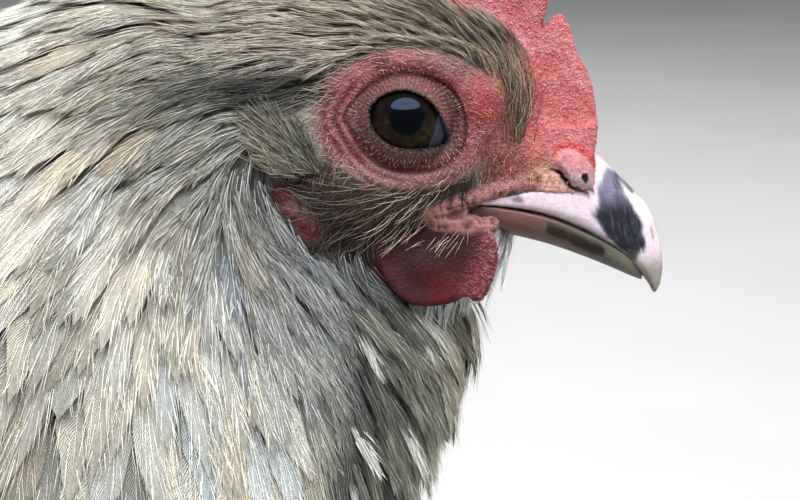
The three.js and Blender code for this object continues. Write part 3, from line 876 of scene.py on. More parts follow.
def table_at(table, t):
    """Smooth values between a table's rows, with t from 0 to 1 over its length."""
    spot = np.clip(t, 0, 1) * (len(table) - 1)
    row = np.minimum(spot.astype(int), len(table) - 2)
    f = (spot - row)[:, None]
    rows = [table[np.clip(row + step, 0, len(table) - 1)] for step in (-1, 0, 1, 2)]
    slope0, slope1 = (rows[2] - rows[0]) / 2, (rows[3] - rows[1]) / 2
    return (rows[1] * (1 + 2 * f) * (1 - f) ** 2 + rows[2] * f * f * (3 - 2 * f)
            + slope0 * f * (1 - f) ** 2 - slope1 * f * f * (1 - f))


def horn_shell(name, table, widest, square, rows=110, around=72):
    """Half a bill, lofted through its rows, in the head's frame."""
    x, low, top, half = table_at(table, np.linspace(0, 1, rows)).T[:, :, None]
    turn = np.linspace(0, 2 * math.pi, around, endpoint=False)[None]
    seat = low + (top - low) * widest
    up = np.sin(turn)
    height = np.where(up > 0, (top - seat) * np.abs(up) ** 0.92, -(seat - low) * np.abs(up) ** 0.6)
    y = half * np.sign(np.cos(turn)) * np.abs(np.cos(turn)) ** square
    points = np.stack([x + 0 * turn, y, seat + height], axis=-1).reshape(-1, 3)
    ends = np.stack([np.arange(around)[::-1], np.arange(around) + (rows - 1) * around])
    flakes = 0.05 * noise(points * [0.35, 1, 1], 0.8, 61) + 0.03 * noise(points, 0.3, 62)
    points = points + flakes[:, None] * unit(points - points.mean(axis=0))
    return new_mesh(name, from_head(points), ring_quads(rows, around), ends), points


def upper_bill():
    piece, q = horn_shell("bill_upper_horn", UPPER_BILL, 0.26, 0.8)
    x, y, z = q.T
    y = np.abs(y)
    wander = 0.5 * noise(q, 1.6, 63) + 0.22 * noise(q, 0.5, 64)
    inside = outline_distance(x, z, DARK_PATCH) + wander * 0.6
    grey_blue = smoothstep(0.35, -0.25, inside) * smoothstep(0.2, 1.2, y)
    black = smoothstep(0.15, -0.45, inside) * smoothstep(-9.6, -13.2, z + wander) * smoothstep(0.6, 1.6, y)
    mottle = smoothstep(-0.1, 0.5, noise(q, 0.42, 65) + 0.7 * noise(q, 1.3, 68)) * grey_blue * (1 - black)
    streak = smoothstep(0.32, 0.1, side_capsule(x, z, (29.8, -7.4), (32.3, -10.0), 0.05, 0.2))
    fleck = smoothstep(0.2, 0.0, side_capsule(x, z, (34.9, -15.2), (35.3, -16.8), 0.08, 0.12))
    oval = np.hypot((x - 15.4 + 0.15 * (z + 10.75)) / 1.2, (z + 10.75 + 0.22 * (x - 15.4)) / 0.55)
    cutting_edge = smoothstep(0.5, 0.0, z - np.interp(x, UPPER_BILL[:, 0], UPPER_BILL[:, 1]))
    return piece, BILL_DEPTH * wash(
        (240, 222, 230), ((228, 188, 200), smoothstep(24, 15, x) * 0.5),
        ((214, 196, 168), smoothstep(-12.2, -13.5, z + 0.1 * (x - 10)) * smoothstep(18, 10, x) * 0.6),
        ((108, 105, 130), grey_blue * 0.9), ((25, 26, 38), black * 0.97), ((64, 66, 92), mottle * 0.8),
        ((60, 62, 86), streak * 0.8), ((150, 140, 150), fleck * 0.7),
        ((92, 96, 112), smoothstep(1.25, 0.6, oval + 0.4 * noise(q, 0.5, 66)) * 0.9),
        ((140, 134, 122), smoothstep(-17.8, -21.8, z) * 0.9),
        # Painted shade in the nostril's slit where it crosses the horn.
        ((40, 20, 16), smoothstep(0.35, 0.0, slit_distance(x, z))),
        ((92, 94, 116), smoothstep(0.3, 0.6, noise(q, 0.36, 69)) * black * 0.6),
        ((96, 84, 74), cutting_edge * smoothstep(26, 29, x) * 0.5))


def lower_bill():
    piece, q = horn_shell("bill_lower_horn", LOWER_BILL, 0.84, 0.9)
    x, y, z = q.T
    # A painted shadow along the top of the lower bill, under the upper bill's edge.
    overhang_shadow = side_capsule(x, z, (20.5, -15.2), (27.5, -18.4), 0.35, 0.5) + 0.25 * noise(q, 1.2, 67)
    return piece, BILL_DEPTH * wash(
        (116, 76, 64), ((100, 100, 86), smoothstep(17, 27, x)), ((44, 28, 22), smoothstep(0.55, 0.05, overhang_shadow)),
        ((128, 126, 108), smoothstep(28, 32, x) * 0.6), ((76, 40, 34), smoothstep(13, 8.5, x) * 0.6))


def finish_horn(piece, tint, node, material):
    paint(piece, "tint", tint)
    piece.data.materials.append(material)
    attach(piece, "root")
    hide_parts(node)


def make_bill():
    finish_horn(*upper_bill(), "bill_upper", horn_material("bill_upper_horn_finish", 0.2))
    finish_horn(*lower_bill(), "bill_lower", horn_material("bill_lower_horn_finish", 0.3))


def eye_colour(points, reach, front, spoke, third_lid):
    """A nearly black pupil, a dark olive iris and the grey third lid. reach is from the pupil's middle."""
    grain = noise(points, 0.8, 71)
    shaded = 0.3 + 0.7 * smoothstep(1.5, -2.0, points[:, 2])
    olive = smoothstep(2.0, 2.7, reach) * smoothstep(4.9, 4.1, reach) * shaded
    return wash(
        IRIS_DARK, (IRIS_OLIVE, olive * np.clip(0.7 + 0.2 * spoke + 0.35 * grain, 0, 1)),
        (IRIS_GOLD, olive * 0.4 * np.clip(grain + 0.3 * spoke - 0.1, 0, 1)), (THIRD_LID, third_lid * 0.9),
        ((24, 22, 26), bell((third_lid, 0.4, 0.25)) * front * 0.8))


def make_eye(side, rows=90, around=120):
    """An eyeball with a low cornea, iris, pupil and the third lid folded in its front corner."""
    sign = SIDES[side]
    lean = np.linspace(0, math.radians(150), rows)[:, None]
    turn = np.linspace(0, 2 * math.pi, around, endpoint=False)[None]
    x, z = EYE_RADIUS * np.sin(lean) * np.cos(turn), EYE_RADIUS * np.sin(lean) * np.sin(turn)
    y = EYE_RADIUS * np.cos(lean) + 0 * turn
    third_lid = smoothstep(-0.05, 0.12, 0.94 * x - 0.34 * z + 0.02 * (x * 0.34 + z * 0.94 + 1) ** 2 - 4.15)
    third_lid = third_lid * (lean < 1.6)
    bulge = 1 + 0.028 * smoothstep(5.2, 2.5, np.hypot(x, z)) * (lean < 1.5)
    points = (np.stack([x, y, z], axis=-1) * (bulge + third_lid * 0.02)[..., None]).reshape(-1, 3)
    front = (lean <= 1.5).repeat(around, axis=1).reshape(-1)
    reach = np.hypot(x - 0.3, z - 0.35).reshape(-1) + ~front * 9
    spoke = np.sin(turn * 40 + 5 * np.sin(turn * 7)).repeat(rows, axis=0).reshape(-1)
    quads, cap = ring_quads(rows, around), (np.arange(around)[::-1] + (rows - 1) * around)[None]
    if sign > 0:
        quads, cap = quads[:, ::-1], cap[:, ::-1]
    piece = new_mesh(f"eyeball_{side}", from_head(points * [1, sign, 1] + [0, sign * EYE_OUT, 0]), quads, cap)
    paint(piece, "tint", eye_colour(points, reach, front, spoke, third_lid.reshape(-1)))
    piece.data.materials.append(eye_material())
    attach(piece, "root")
    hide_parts(f"eye_{side}")


def make_claws():
    for node in [f"claw_{toe}_{side}" for side in SIDES for toe in TOES]:
        piece = in_scene(f"{node}_horn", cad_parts[node].data.copy())
        rounding = piece.modifiers.new("round", "SUBSURF")
        rounding.levels = rounding.render_levels = 2
        piece.data = evaluated(piece)
        piece.data.shade_smooth()
        x = spots(piece.data)[:, 0] / MM
        tip = (x - x.min()) / max(np.ptp(x), 1e-6)
        finish_horn(piece, wash((150, 138, 118), ((206, 196, 178), tip)), node, horn_material("claw_horn", 0.3))


# ---- Materials ----

class Shade:
    """A node material, built on the attributes that its pieces are painted with."""

    def __init__(self, name):
        self.material = bpy.data.materials.get(name) or bpy.data.materials.new(name)
        self.material.use_nodes = True
        self.nodes = self.material.node_tree.nodes
        self.links = self.material.node_tree.links
        self.shader = self.nodes["Principled BSDF"]

    def add(self, kind, settings=(), **inputs):
        """A new node, with its inputs by name, each a value or another node's output."""
        node = self.nodes.new("ShaderNode" + kind)
        for name, value in settings:
            setattr(node, name, value)
        for name, value in inputs.items():
            self.put(node.inputs[name.replace("_", " ")], value)
        return node

    def put(self, socket, value):
        if isinstance(value, bpy.types.NodeSocket):
            self.links.new(value, socket)
        else:
            socket.default_value = value

    def attribute(self, name, output="Fac"):
        return self.add("Attribute", [("attribute_name", name)]).outputs[output]

    def noise(self, scale, detail=2.0, stretch=None):
        return self.add("TexNoise", Scale=scale, Detail=detail, Vector=self.place(stretch)).outputs["Fac"]

    def cells(self, scale):
        return self.add("TexVoronoi", Scale=scale, Vector=self.place(None)).outputs["Distance"]

    def place(self, stretch):
        spot = self.add("TexCoord").outputs["Object"]
        return spot if stretch is None else self.add("Mapping", Scale=stretch, Vector=spot).outputs["Vector"]

    def maths(self, operation, *values):
        node = self.add("Math", [("operation", operation)])
        for socket, value in zip(node.inputs, values):
            self.put(socket, value)
        return node.outputs[0]

    def vectors(self, operation, *values):
        node = self.add("VectorMath", [("operation", operation)])
        for socket, value in zip(node.inputs, values):
            self.put(socket, value)
        return node.outputs[0]

    def spread(self, value, low, high, new_low, new_high):
        return self.add("MapRange", From_Min=low, From_Max=high, To_Min=new_low, To_Max=new_high,
                        Value=value).outputs["Result"]

    def scaled(self, colour, factor):
        """A colour made lighter or darker by a factor."""
        node = self.add("VectorMath", [("operation", "SCALE")], Scale=factor)
        self.put(node.inputs[0], colour)
        return node.outputs[0]

    def mixed(self, under, over, share):
        """One colour over another by its share."""
        node = self.add("Mix", [("data_type", "RGBA")])
        for name, value in (("A_Color", under), ("B_Color", over), ("Factor_Float", share)):
            self.put(next(socket for socket in node.inputs if socket.identifier == name), value)
        return next(socket for socket in node.outputs if socket.identifier == "Result_Color")

    def bump(self, height, distance):
        node = self.add("Bump", Distance=distance, Strength=1.0, Height=height)
        self.set(Normal=node.outputs["Normal"])

    def set(self, **inputs):
        for name, value in inputs.items():
            self.put(self.shader.inputs[name.replace("_", " ")], value)


def skin_material():
    """Bare skin set with small mounds whose tops are painted paler, a painted highlight, which the grain attribute
    raises or smooths away.
    """
    shade = Shade("bare_skin")
    tint, grain = shade.attribute("tint", "Color"), shade.attribute("grain")
    mound = shade.spread(shade.cells(2500), 0.08, 0.55, 1.0, 0.0)
    fine = shade.noise(2100, 3)
    between = shade.scaled(tint, shade.spread(fine, 0.3, 0.7, 0.6, 1.0))
    # Mound tops are painted paler: painted highlight.
    granule = shade.vectors("MULTIPLY_ADD", tint, (1.5, 1.7, 1.7), (0.06, 0.042, 0.042))
    share = shade.maths("MULTIPLY", shade.maths("MULTIPLY", mound, grain), shade.spread(fine, 0.3, 0.65, 0.35, 1.0))
    height = shade.maths("ADD", mound, shade.noise(3000, 2))
    shade.bump(shade.maths("MULTIPLY", height, grain), 0.00017)
    shade.set(Base_Color=shade.mixed(between, granule, share),
              Roughness=shade.spread(shade.noise(900, 2), 0.3, 0.7, 0.42, 0.6), Specular_IOR_Level=0.22,
              Subsurface_Weight=0.12, Subsurface_Radius=(0.0014, 0.0005, 0.0003), Subsurface_Scale=1.0)
    return shade.material


def horn_material(name, roughness):
    shade = Shade(name)
    shade.bump(shade.noise(900, 4, (1, 1, 3)), 0.00008)
    grain = shade.spread(shade.noise(1400, 3), 0.3, 0.7, 0.92, 1.06)
    shade.set(Base_Color=shade.scaled(shade.attribute("tint", "Color"), grain),
              Roughness=shade.spread(shade.noise(700, 2), 0.3, 0.7, roughness, roughness + 0.14),
              Subsurface_Weight=0.2, Subsurface_Radius=(0.001, 0.0008, 0.0006), Subsurface_Scale=1.0,
              Coat_Weight=0.35, Coat_Roughness=0.12)
    return shade.material


def eye_material():
    shade = Shade("eye_gloss")
    grain = shade.spread(shade.noise(2500, 2), 0.3, 0.7, 0.85, 1.15)
    shade.set(Base_Color=shade.scaled(shade.attribute("tint", "Color"), grain), Roughness=0.03,
              Specular_IOR_Level=0.21, Specular_Tint=(0.36, 0.5, 0.85, 1.0), Coat_Weight=0.0)
    return shade.material


def feather_material(vaned):
    """A feather's colour with a fine grain, and with barbs that sweep back from the shaft if it is vaned."""
    name = "vaned_feather" if vaned else "downy_feather"
    if name in bpy.data.materials:
        return bpy.data.materials[name]
    shade = Shade(name)
    grain = shade.spread(shade.noise(1500, 2), 0.3, 0.7, 0.86, 1.12)
    tone = shade.maths("MULTIPLY", shade.spread(shade.attribute("chance"), 0, 1, 0.86, 1.12), grain)
    if vaned:
        outward = shade.maths("ABSOLUTE", shade.attribute("across"))
        sweep = shade.maths("MULTIPLY_ADD", outward, -9.0, shade.maths("MULTIPLY", shade.attribute("along"), 46.0))
        wave = shade.maths("MULTIPLY_ADD", sweep, 5.0, shade.maths("MULTIPLY", grain, 7.0))
        barbs = shade.maths("SINE", wave)
        tone = shade.maths("MULTIPLY", tone, shade.spread(barbs, -1, 1, 0.82, 1.1))
        shade.bump(barbs, 0.0002)
    shade.set(Base_Color=shade.scaled(shade.attribute("tint", "Color"), tone), Roughness=0.72,
              Specular_IOR_Level=0.2, Sheen_Weight=0.06, Sheen_Roughness=0.5)
    return shade.material


def floor_material():
    shade = Shade("pale_floor")
    tone = shade.spread(shade.noise(6, 3), 0.3, 0.7, 0.36, 0.39)
    shade.set(Base_Color=shade.add("CombineColor", Red=tone, Green=tone, Blue=tone).outputs[0], Roughness=0.85)
    return shade.material


# ---- The stage ----

CAMERA_DISTANCE, FRAME_WIDTH, CAMERA_LIFT = 0.3, 0.111, math.radians(13)
CAMERA_TARGET = Vector(HEAD_ORIGIN) + Vector((-0.0006, -0.0115, -0.0164))
SENSOR = 36
FLOOR_REACH = 4
# Each light: its place, where it points, its size, watts and colour, and whether it shows in reflections.
LIGHTS = {
    "key": ((0.2, -0.68, 1.16), (0.12, 0, 0.15), (1.7, 0.8), 34, (0.93, 0.97, 1.0), True),
    "top": ((0.0, 0.1, 1.4), (0.02, 0, 0.1), (1.2, 1.0), 22, (1.0, 0.98, 0.94), False),
    "front": ((1.3, 0.2, 0.6), (0.1, 0, 0.12), (0.8, 0.8), 11, (1.0, 0.98, 0.96), False),
    "back": ((-0.5, 1.1, 0.8), (0, 0, 0.12), (1.0, 0.8), 15, (1.0, 1.0, 1.0), False)}


def aim(thing, target):
    thing.rotation_euler = (Vector(target) - thing.location).to_track_quat("-Z", "Y").to_euler()


def make_camera():
    """The photograph's view: a little above the bird's right side, 30 cm away."""
    camera = in_scene("camera", bpy.data.cameras.new("camera"))
    camera.location = CAMERA_TARGET + Vector((0, -math.cos(CAMERA_LIFT), math.sin(CAMERA_LIFT))) * CAMERA_DISTANCE
    aim(camera, CAMERA_TARGET)
    camera.data.sensor_width = SENSOR
    camera.data.lens = SENSOR * CAMERA_DISTANCE / FRAME_WIDTH
    camera.data.clip_start = 0.01
    bpy.context.scene.camera = camera
    bpy.context.scene.view_settings.view_transform = "Standard"


def make_light(name, place, target, size, watts, colour, glint):
    light = in_scene(name, bpy.data.lights.new(name, "AREA"))
    light.location = place
    aim(light, target)
    light.data.shape = "ELLIPSE"
    light.data.size, light.data.size_y = size
    light.data.energy = watts
    light.data.color = colour
    light.visible_glossy = glint


def make_stage():
    corners = np.array([[-1, -1, 0], [1, -1, 0], [1, 1, 0], [-1, 1, 0]], float) * FLOOR_REACH
    floor = new_mesh("floor", corners, np.array([[0, 1, 2, 3]]))
    floor.data.materials.append(floor_material())
    floor.visible_glossy = False
    for name, settings in LIGHTS.items():
        make_light(name, *settings)
    world = bpy.data.worlds.new("studio")
    bpy.context.scene.world = world
    world.use_nodes = True
    world.node_tree.nodes["Background"].inputs["Color"].default_value = (0.96, 0.98, 1.0, 1)
    world.node_tree.nodes["Background"].inputs["Strength"].default_value = 0.24


# ---- Plumage: its colours and the way it lies ----

# Where the plumage changes colour: the middle from between the eyes, the reach along and up, strength and colour.
PATCHES = [
    (10, 15, 9, 8, 6, (84, 66, 42)), (-4, 15, 10, 9, 3, (150, 130, 104)), (-22, 14, 14, 8, 2, (150, 138, 116)),
    (-36, 6, 9, 8, 2, (172, 166, 148)), (-27, 3, 7, 6, 3, (108, 105, 92)), (-15, 4.8, 10, 1.9, 14, (22, 24, 22)),
    (-25, -7, 8, 6, 2, (120, 118, 108)), (-17, -15, 7, 8, 3, (112, 114, 122)), (-5, -20, 4, 4, 5, (66, 72, 66)),
    (-12, -28, 9, 9, 2, (142, 144, 144)), (-5, -36, 7, 13, 9, (46, 49, 44)), (5, -29, 5, 6, 3, (78, 80, 76)),
    (7, -38, 5, 14, 7, (150, 146, 126)), (-48, -10, 14, 16, 3, (234, 230, 218)),
    (-40, -17, 2.2, 6, 6, (120, 118, 106)), (-50, -22, 3, 6, 4, (132, 128, 116)),
    (-48, -36, 3, 7, 5, (118, 112, 98)), (-44, -34, 14, 12, 3, (196, 190, 174)),
    (-26, -38, 10, 16, 3, (246, 243, 228)), (-54, 14, 14, 10, 3, (248, 244, 230))]
BODY_STRENGTH = 0.35
# Painted shade on the plumage, where it lies dark between its feathers: the middle, the reach along and up, and how
# much.
PAINTED_SHADE_SPOTS = [(-22.0, -7.0, 3.2, 3.6, 0.75), (-19.0, -11.5, 2.6, 3.0, 0.55), (-9.5, -18.5, 3.0, 2.6, 0.55),
           (-5.0, -21.0, 2.2, 2.4, 0.45), (-18.5, 3.9, 9.0, 2.0, 0.68), (-24, -3.2, 4.0, 1.6, 0.35)]
# Which way the feathers point in side view, in degrees up from straight ahead, at places from between the eyes.
LIE = [
    (20, 6, 112), (15, 12, 135), (0, 16, 168), (-15, 15, 186), (-30, 10, 208), (-42, 11, 226), (-20, 5, 194),
    (-29, -2, 218), (-28, -11, 238), (-21.5, -13, 262), (-28, -20, 252), (-16, -17, 298), (-14, -24, 290),
    (-8, -23, 298), (-18.9, -10.6, 298), (-17.4, -14, 294), (-4, -21, 312), (1, -27, 312), (8, -30, 305),
    (10, -42, 287), (-45, -10, 240), (-45, -30, 250), (-28, -45, 258), (-8, -45, 276), (12, -14, 300),
    (-8, -12, 200), (6, -12, 225), (-55, 15, 224), (10, -80, 268), (0, -120, 250), (-30, -170, 225),
    (-60, -60, 226), (-60, -110, 205), (-110, -50, 194), (-110, -120, 192), (-170, -55, 182), (-200, -110, 182),
    (-150, -170, 188), (-250, -50, 168), (-290, -40, 145), (-290, -90, 168), (-240, -130, 182)]


def painted_shade(points):
    """How much of its lightness the plumage keeps under the painted shade, at points in metres."""
    q = to_head(points)
    kept = np.ones(q.shape[:-1])
    for x, z, breadth, height, depth in PAINTED_SHADE_SPOTS:
        kept *= 1 - depth * bell((q[..., 0], x, breadth), (q[..., 2], z, height))
    return kept


def plumage(points):
    """The coat's colour at points in metres: taupe crown, grey upper neck, cream body with grey drifts."""
    q = to_head(points)
    drift = noise(q, 26, 81) + 0.6 * noise(q, 11, 82)
    tint = wash(CREAM_WHITE, (SOFT_GREY, 0.45 * smoothstep(0.0, 0.9, drift)),
                (BUFF, 0.4 * smoothstep(0.1, 0.9, noise(q, 34, 83))))
    share = np.full(len(q), BODY_STRENGTH)
    blend = tint * share[:, None]
    for x, z, breadth, height, strength, colour in PATCHES:
        weight = bell((q[:, 0], x, breadth), (q[:, 2], z, height)) * strength
        blend += weight[:, None] * linear(*colour)
        share += weight
    x, y, z = (np.asarray(points) / MM).T
    tail = smoothstep(-100, -160, x) * smoothstep(120, 170, z)
    return wash(blend / share[:, None], ((150, 143, 130), 0.6 * tail))


def lie(points):
    """The direction the plumage flows in, before it is laid on the skin, at points in metres."""
    q = (np.asarray(points) - HEAD_ORIGIN) / MM
    total = np.zeros((len(q), 3))
    for x, z, angle in LIE:
        weight = (np.hypot(q[:, 0] - x, q[:, 2] - z) + 1.5) ** -3.2
        total[:, 0] += weight * math.cos(math.radians(angle))
        total[:, 2] += weight * math.sin(math.radians(angle))
    return unit(total)


def toward(ahead, up):
    """Directions in the head's side view, from their parts ahead and up."""
    return np.stack([ahead, 0 * ahead, up], axis=1) @ HEAD_AXES


# ---- The coat's roots and paths over the skin ----

NEIGHBOURS = [(i - 1, j - 1, k - 1) for i, j, k in np.ndindex(3, 3, 3)]
FLOOR_GAP = 0.4 * MM


class Coat:
    """Lays feathers on a skin."""

    def __init__(self, skin):
        place = spots(skin.data)
        triangles = triangles_of(skin.data)
        self.tree = BVHTree.FromPolygons(place.tolist(), triangles.tolist())
        self.corners = place[triangles]
        edges = self.corners[:, 1:] - self.corners[:, :1]
        self.areas = np.linalg.norm(np.cross(edges[:, 0], edges[:, 1]), axis=1) / 2

    def scatter(self, density, keep, reach=None):
        """Random roots, so many to a square millimetre, where keep gives more than a random number.

        reach keeps them within so many millimetres of the head's middle."""
        areas = self.areas
        if reach is not None:
            areas = areas * (np.linalg.norm(to_head(self.corners[:, 0]), axis=1) < reach)
        count = int(areas.sum() / MM ** 2 * density)
        pick = chance.choice(len(areas), count, p=areas / areas.sum())
        a, b = chance.random((2, count, 1))
        flip = a + b > 1
        a, b = np.where(flip, 1 - a, a), np.where(flip, 1 - b, b)
        corner = self.corners[pick]
        points = corner[:, 0] + a * (corner[:, 1] - corner[:, 0]) + b * (corner[:, 2] - corner[:, 0])
        return points[keep(points) > chance.random(count)]

    def spaced(self, points, gap):
        """Drops points nearer than gap, in millimetres, to one already kept."""
        kept, cells = [], {}
        gap = np.broadcast_to(gap * MM, len(points))
        widest = gap.max()
        for index, (point, room) in enumerate(zip(points.tolist(), gap.tolist())):
            i, j, k = (int(c // widest) for c in point)
            if not any(math.dist(other, point) < room for di, dj, dk in NEIGHBOURS
                       for other in cells.get((i + di, j + dj, k + dk), ())):
                cells.setdefault((i, j, k), []).append(point)
                kept.append(index)
        return points[kept]

    def beside(self, density, low, high, keep, gap):
        """Spaced roots on both sides of the head, within a box in side view and where keep allows them."""
        def share(points):
            q = one_sided(to_head(points))
            in_box = (q[:, ::2] > low).all(axis=1) & (q[:, ::2] < high).all(axis=1) & (q[:, 1] > 4)
            return only(in_box, keep(q[in_box]))
        return self.spaced(self.scatter(density, share, 40), gap)

    def nearest(self, points):
        found = [self.tree.find_nearest(point) for point in points.tolist()]
        return np.array([hit[0] for hit in found]), np.array([hit[1] for hit in found])

    def trail(self, roots, length, lift, turn, flow=lie):
        """Paths from the roots along a flow. lift gives each ring's height over the skin. All in metres."""
        place, normal = self.nearest(roots)
        steps = length[:, None] / (lift.shape[1] - 1)
        turn = turn[:, None]
        paths, ups = [place + normal * lift[:, :1]], [normal]
        for height in lift.T[1:]:
            heading = flow(place)
            heading = unit(heading - (heading * normal).sum(axis=1, keepdims=True) * normal)
            aside = np.cross(normal, heading)
            heading = heading * np.cos(turn) + aside * np.sin(turn)
            place, normal = self.nearest(place + heading * steps)
            paths.append(place + normal * height[:, None])
            ups.append(normal)
        return np.stack(paths, axis=1), np.stack(ups, axis=1)

    def seen_from_side(self, x, z, side):
        """The skin's points that lie at places in the head's side view, seen from one side."""
        sign = SIDES[side]
        starts = from_head(np.stack([x, np.full(len(x), 40.0 * sign), z], axis=1))
        course = Vector(-sign * HEAD_AXES[1])
        return np.array([self.tree.ray_cast(Vector(start), course)[0] for start in starts])

    def spray(self, roots, heading, length, rings, rise):
        """Paths that hang free from the roots along their headings. rise is how far they stand out, in metres."""
        place, normal = self.nearest(roots)
        share = np.linspace(0, 1, rings)[None, :, None]
        course = unit(heading)[:, None] * length[:, None, None] * share
        paths = place[:, None] + course + normal[:, None] * rise[:, None, None] * share ** 0.7
        ups = unit(normal + np.array([0.6, 0, 0]))
        return paths, np.repeat(ups[:, None], rings, axis=1)


def eased(rings, start, end, power=0.7):
    return start + (end - start) * np.linspace(0, 1, rings) ** power


# ---- Feathers and hairs ----

STRAND = np.array([[-1, 0], [0, 0.8], [1, 0]])
VANE = np.array([[-1, -0.045], [-0.5, 0.0], [0, 0.03], [0.5, 0.0], [1, -0.045], [0, -0.03]])
VANE_EDGE = math.radians(60)
PATCH_SIZE = 0.003
MOST_TRIANGLES = 190000
NECK_SPINE = ((0.158, 0, 0.215), (0.06, 0, 0.06))
HEAD_SPINE = ((0.19, 0, 0.19), (0.12, 0, 0.2))
BODY_SPINE = ((0.18, 0, 0.08), (-0.2, 0, 0.13))
# A kind of feather: half its width at each ring, the middle line its patches unwrap about, its slot, how many
# barbs, their half width in millimetres, how pale and how loose they are, the vane's width and lightness and how
# ragged its edge is, and how wide the barbs spread.
Kind = namedtuple("Kind", "shape spine slot barbs fine pale loose vane_width vane_tone ragged barb_width")
HACKLE = Kind([0.3, 0.8, 1.0, 1.0, 0.8, 0.45, 0.0], NECK_SPINE, "neck_feathers", 26, 0.052, 0.35, 0.15,
              0.8, 0.97, 0.15, 1.0)
RUFF = HACKLE._replace(barbs=16, fine=0.045, pale=0.5, loose=0.2)
THROAT = HACKLE._replace(barbs=16, fine=0.05, pale=0.4, loose=0.2)
CROWN = Kind([0.5, 1.0, 0.9, 0.6, 0.0], HEAD_SPINE, "crown_feathers", 12, 0.042, 0.4, 0.2, 0.7, 0.7, 0.08, 1.0)
CONTOUR = Kind([0.3, 0.62, 0.84, 0.96, 1.0, 0.97, 0.84, 0.6, 0.0], BODY_SPINE, "body_feathers", 8, 0.13, 0.25, 0.2,
               1.0, 1.0, 0.1, 0.9)
FLIGHT = Kind([0.35, 0.7, 0.88, 0.96, 1.0, 1.0, 0.98, 0.95, 0.9, 0.8, 0.62, 0.36, 0.0], BODY_SPINE,
              "flight_feathers", 26, 0.14, 0.2, 0.12, 1.0, 1.0, 0.03, 0.95)
names_used = {}


def next_name(stem):
    """A new name for one more piece of the coat."""
    names_used[stem] = names_used.get(stem, 0) + 1
    return f"{stem}_{names_used[stem]}"


def sideways(paths, ups):
    return unit(np.cross(np.gradient(paths, axis=1), ups))


def unwrap(points, start, end):
    """A place on the skin's own unwrap: round a middle line and along it, each from 0 to 1."""
    start, end = np.array(start), np.array(end)
    run = unit(end - start)
    off = points - start
    across = unit(np.cross(run, [0, 1, 0]))
    turn = np.arctan2(off @ np.array([0, 1, 0]), off @ across) / (2 * math.pi) + 0.5
    return np.stack([turn, np.clip(off @ run / np.linalg.norm(end - start), 0, 1)], axis=1) * 0.98 + 0.01


def paint_patches(piece, seats, offsets):
    """Gives each feather its small OFBake patch, at its root's place on the skin's unwrap."""
    patch = seats[:, None] + PATCH_SIZE * offsets[None]
    bake = piece.data.uv_layers.new(name="OFBake")
    loops = np.empty(len(piece.data.loops), np.int32)
    piece.data.loops.foreach_get("vertex_index", loops)
    bake.data.foreach_set("uv", patch.reshape(-1, 2)[loops].astype(np.float32).reshape(-1))


def feathers(name, paths, ups, half, tints, section, spine, slot, roots):
    """Sweeps a section down each path to a point, as one closed mesh for each feather, all in one piece.

    half is each ring's half width in metres and tints each ring's colour. spine is the skin's middle line
    that the patches unwrap about, from the roots."""
    count, rings = paths.shape[:2]
    corners = len(section)
    sides = sideways(paths, ups)
    body = paths[:, :-1, None] + half[:, :-1, None, None] * (
        section[:, 0, None] * sides[:, :-1, None] + section[:, 1, None] * ups[:, :-1, None])
    per = (rings - 1) * corners + 1
    points = np.concatenate([body.reshape(count, -1, 3), paths[:, -1:]], axis=1).reshape(-1, 3)
    points[:, 2] = np.maximum(points[:, 2], FLOOR_GAP)
    last = (rings - 2) * corners + np.arange(corners)
    tips = np.stack([last, np.roll(last, -1), np.full(corners, per - 1)], axis=1)
    base = np.arange(corners)[::-1][None]
    first = (np.arange(count) * per)[:, None, None]
    groups = (ring_quads(rings - 1, corners), tips, base)
    piece = new_mesh(name, points, *[(group[None] + first).reshape(-1, group.shape[1]) for group in groups])
    if section is VANE:
        piece.data.set_sharp_from_angle(angle=VANE_EDGE)

    ring_of = np.concatenate([np.repeat(np.arange(rings - 1), corners), [rings - 1]])
    along = np.linspace(0, 1, rings)[ring_of]
    across = np.concatenate([np.tile(section[:, 0], rings - 1), [0.0]])
    paint(piece, "tint", tints[:, ring_of].reshape(-1, 3))
    paint(piece, "along", np.tile(along, count))
    paint(piece, "across", np.tile(across, count))
    paint(piece, "chance", np.repeat(chance.random(count), per))
    paint_patches(piece, unwrap(roots, *spine), np.stack([across * 0.5, along - 0.5], axis=1))
    piece.data.materials.append(feather_material(section is VANE))
    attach(piece, "root")
    return piece


def along_path(values, owner, spot):
    """Values of each owner's path at spots from 0 to 1."""
    steps = values.shape[1] - 1
    spot = spot * steps
    low = np.clip(spot.astype(int), 0, steps - 1)
    part = (spot - low)[..., None]
    return values[owner[:, None], low] * (1 - part) + values[owner[:, None], low + 1] * part


def lay_vanes(name, paths, ups, wide, base, kind):
    count, rings = paths.shape[:2]
    edge = chance.uniform(1 - kind.ragged, 1 + kind.ragged, (count, rings))
    half = wide[:, None] * np.array(kind.shape)[None] * edge
    # Painted shade darkens the vanes where the plumage lies dark between feathers.
    tint = base[:, None] * np.linspace(0.8, 1.04, rings)[None, :, None] * painted_shade(paths)[..., None]
    feathers(name, paths, ups, half, tint, VANE, kind.spine, kind.slot, paths[:, 0])


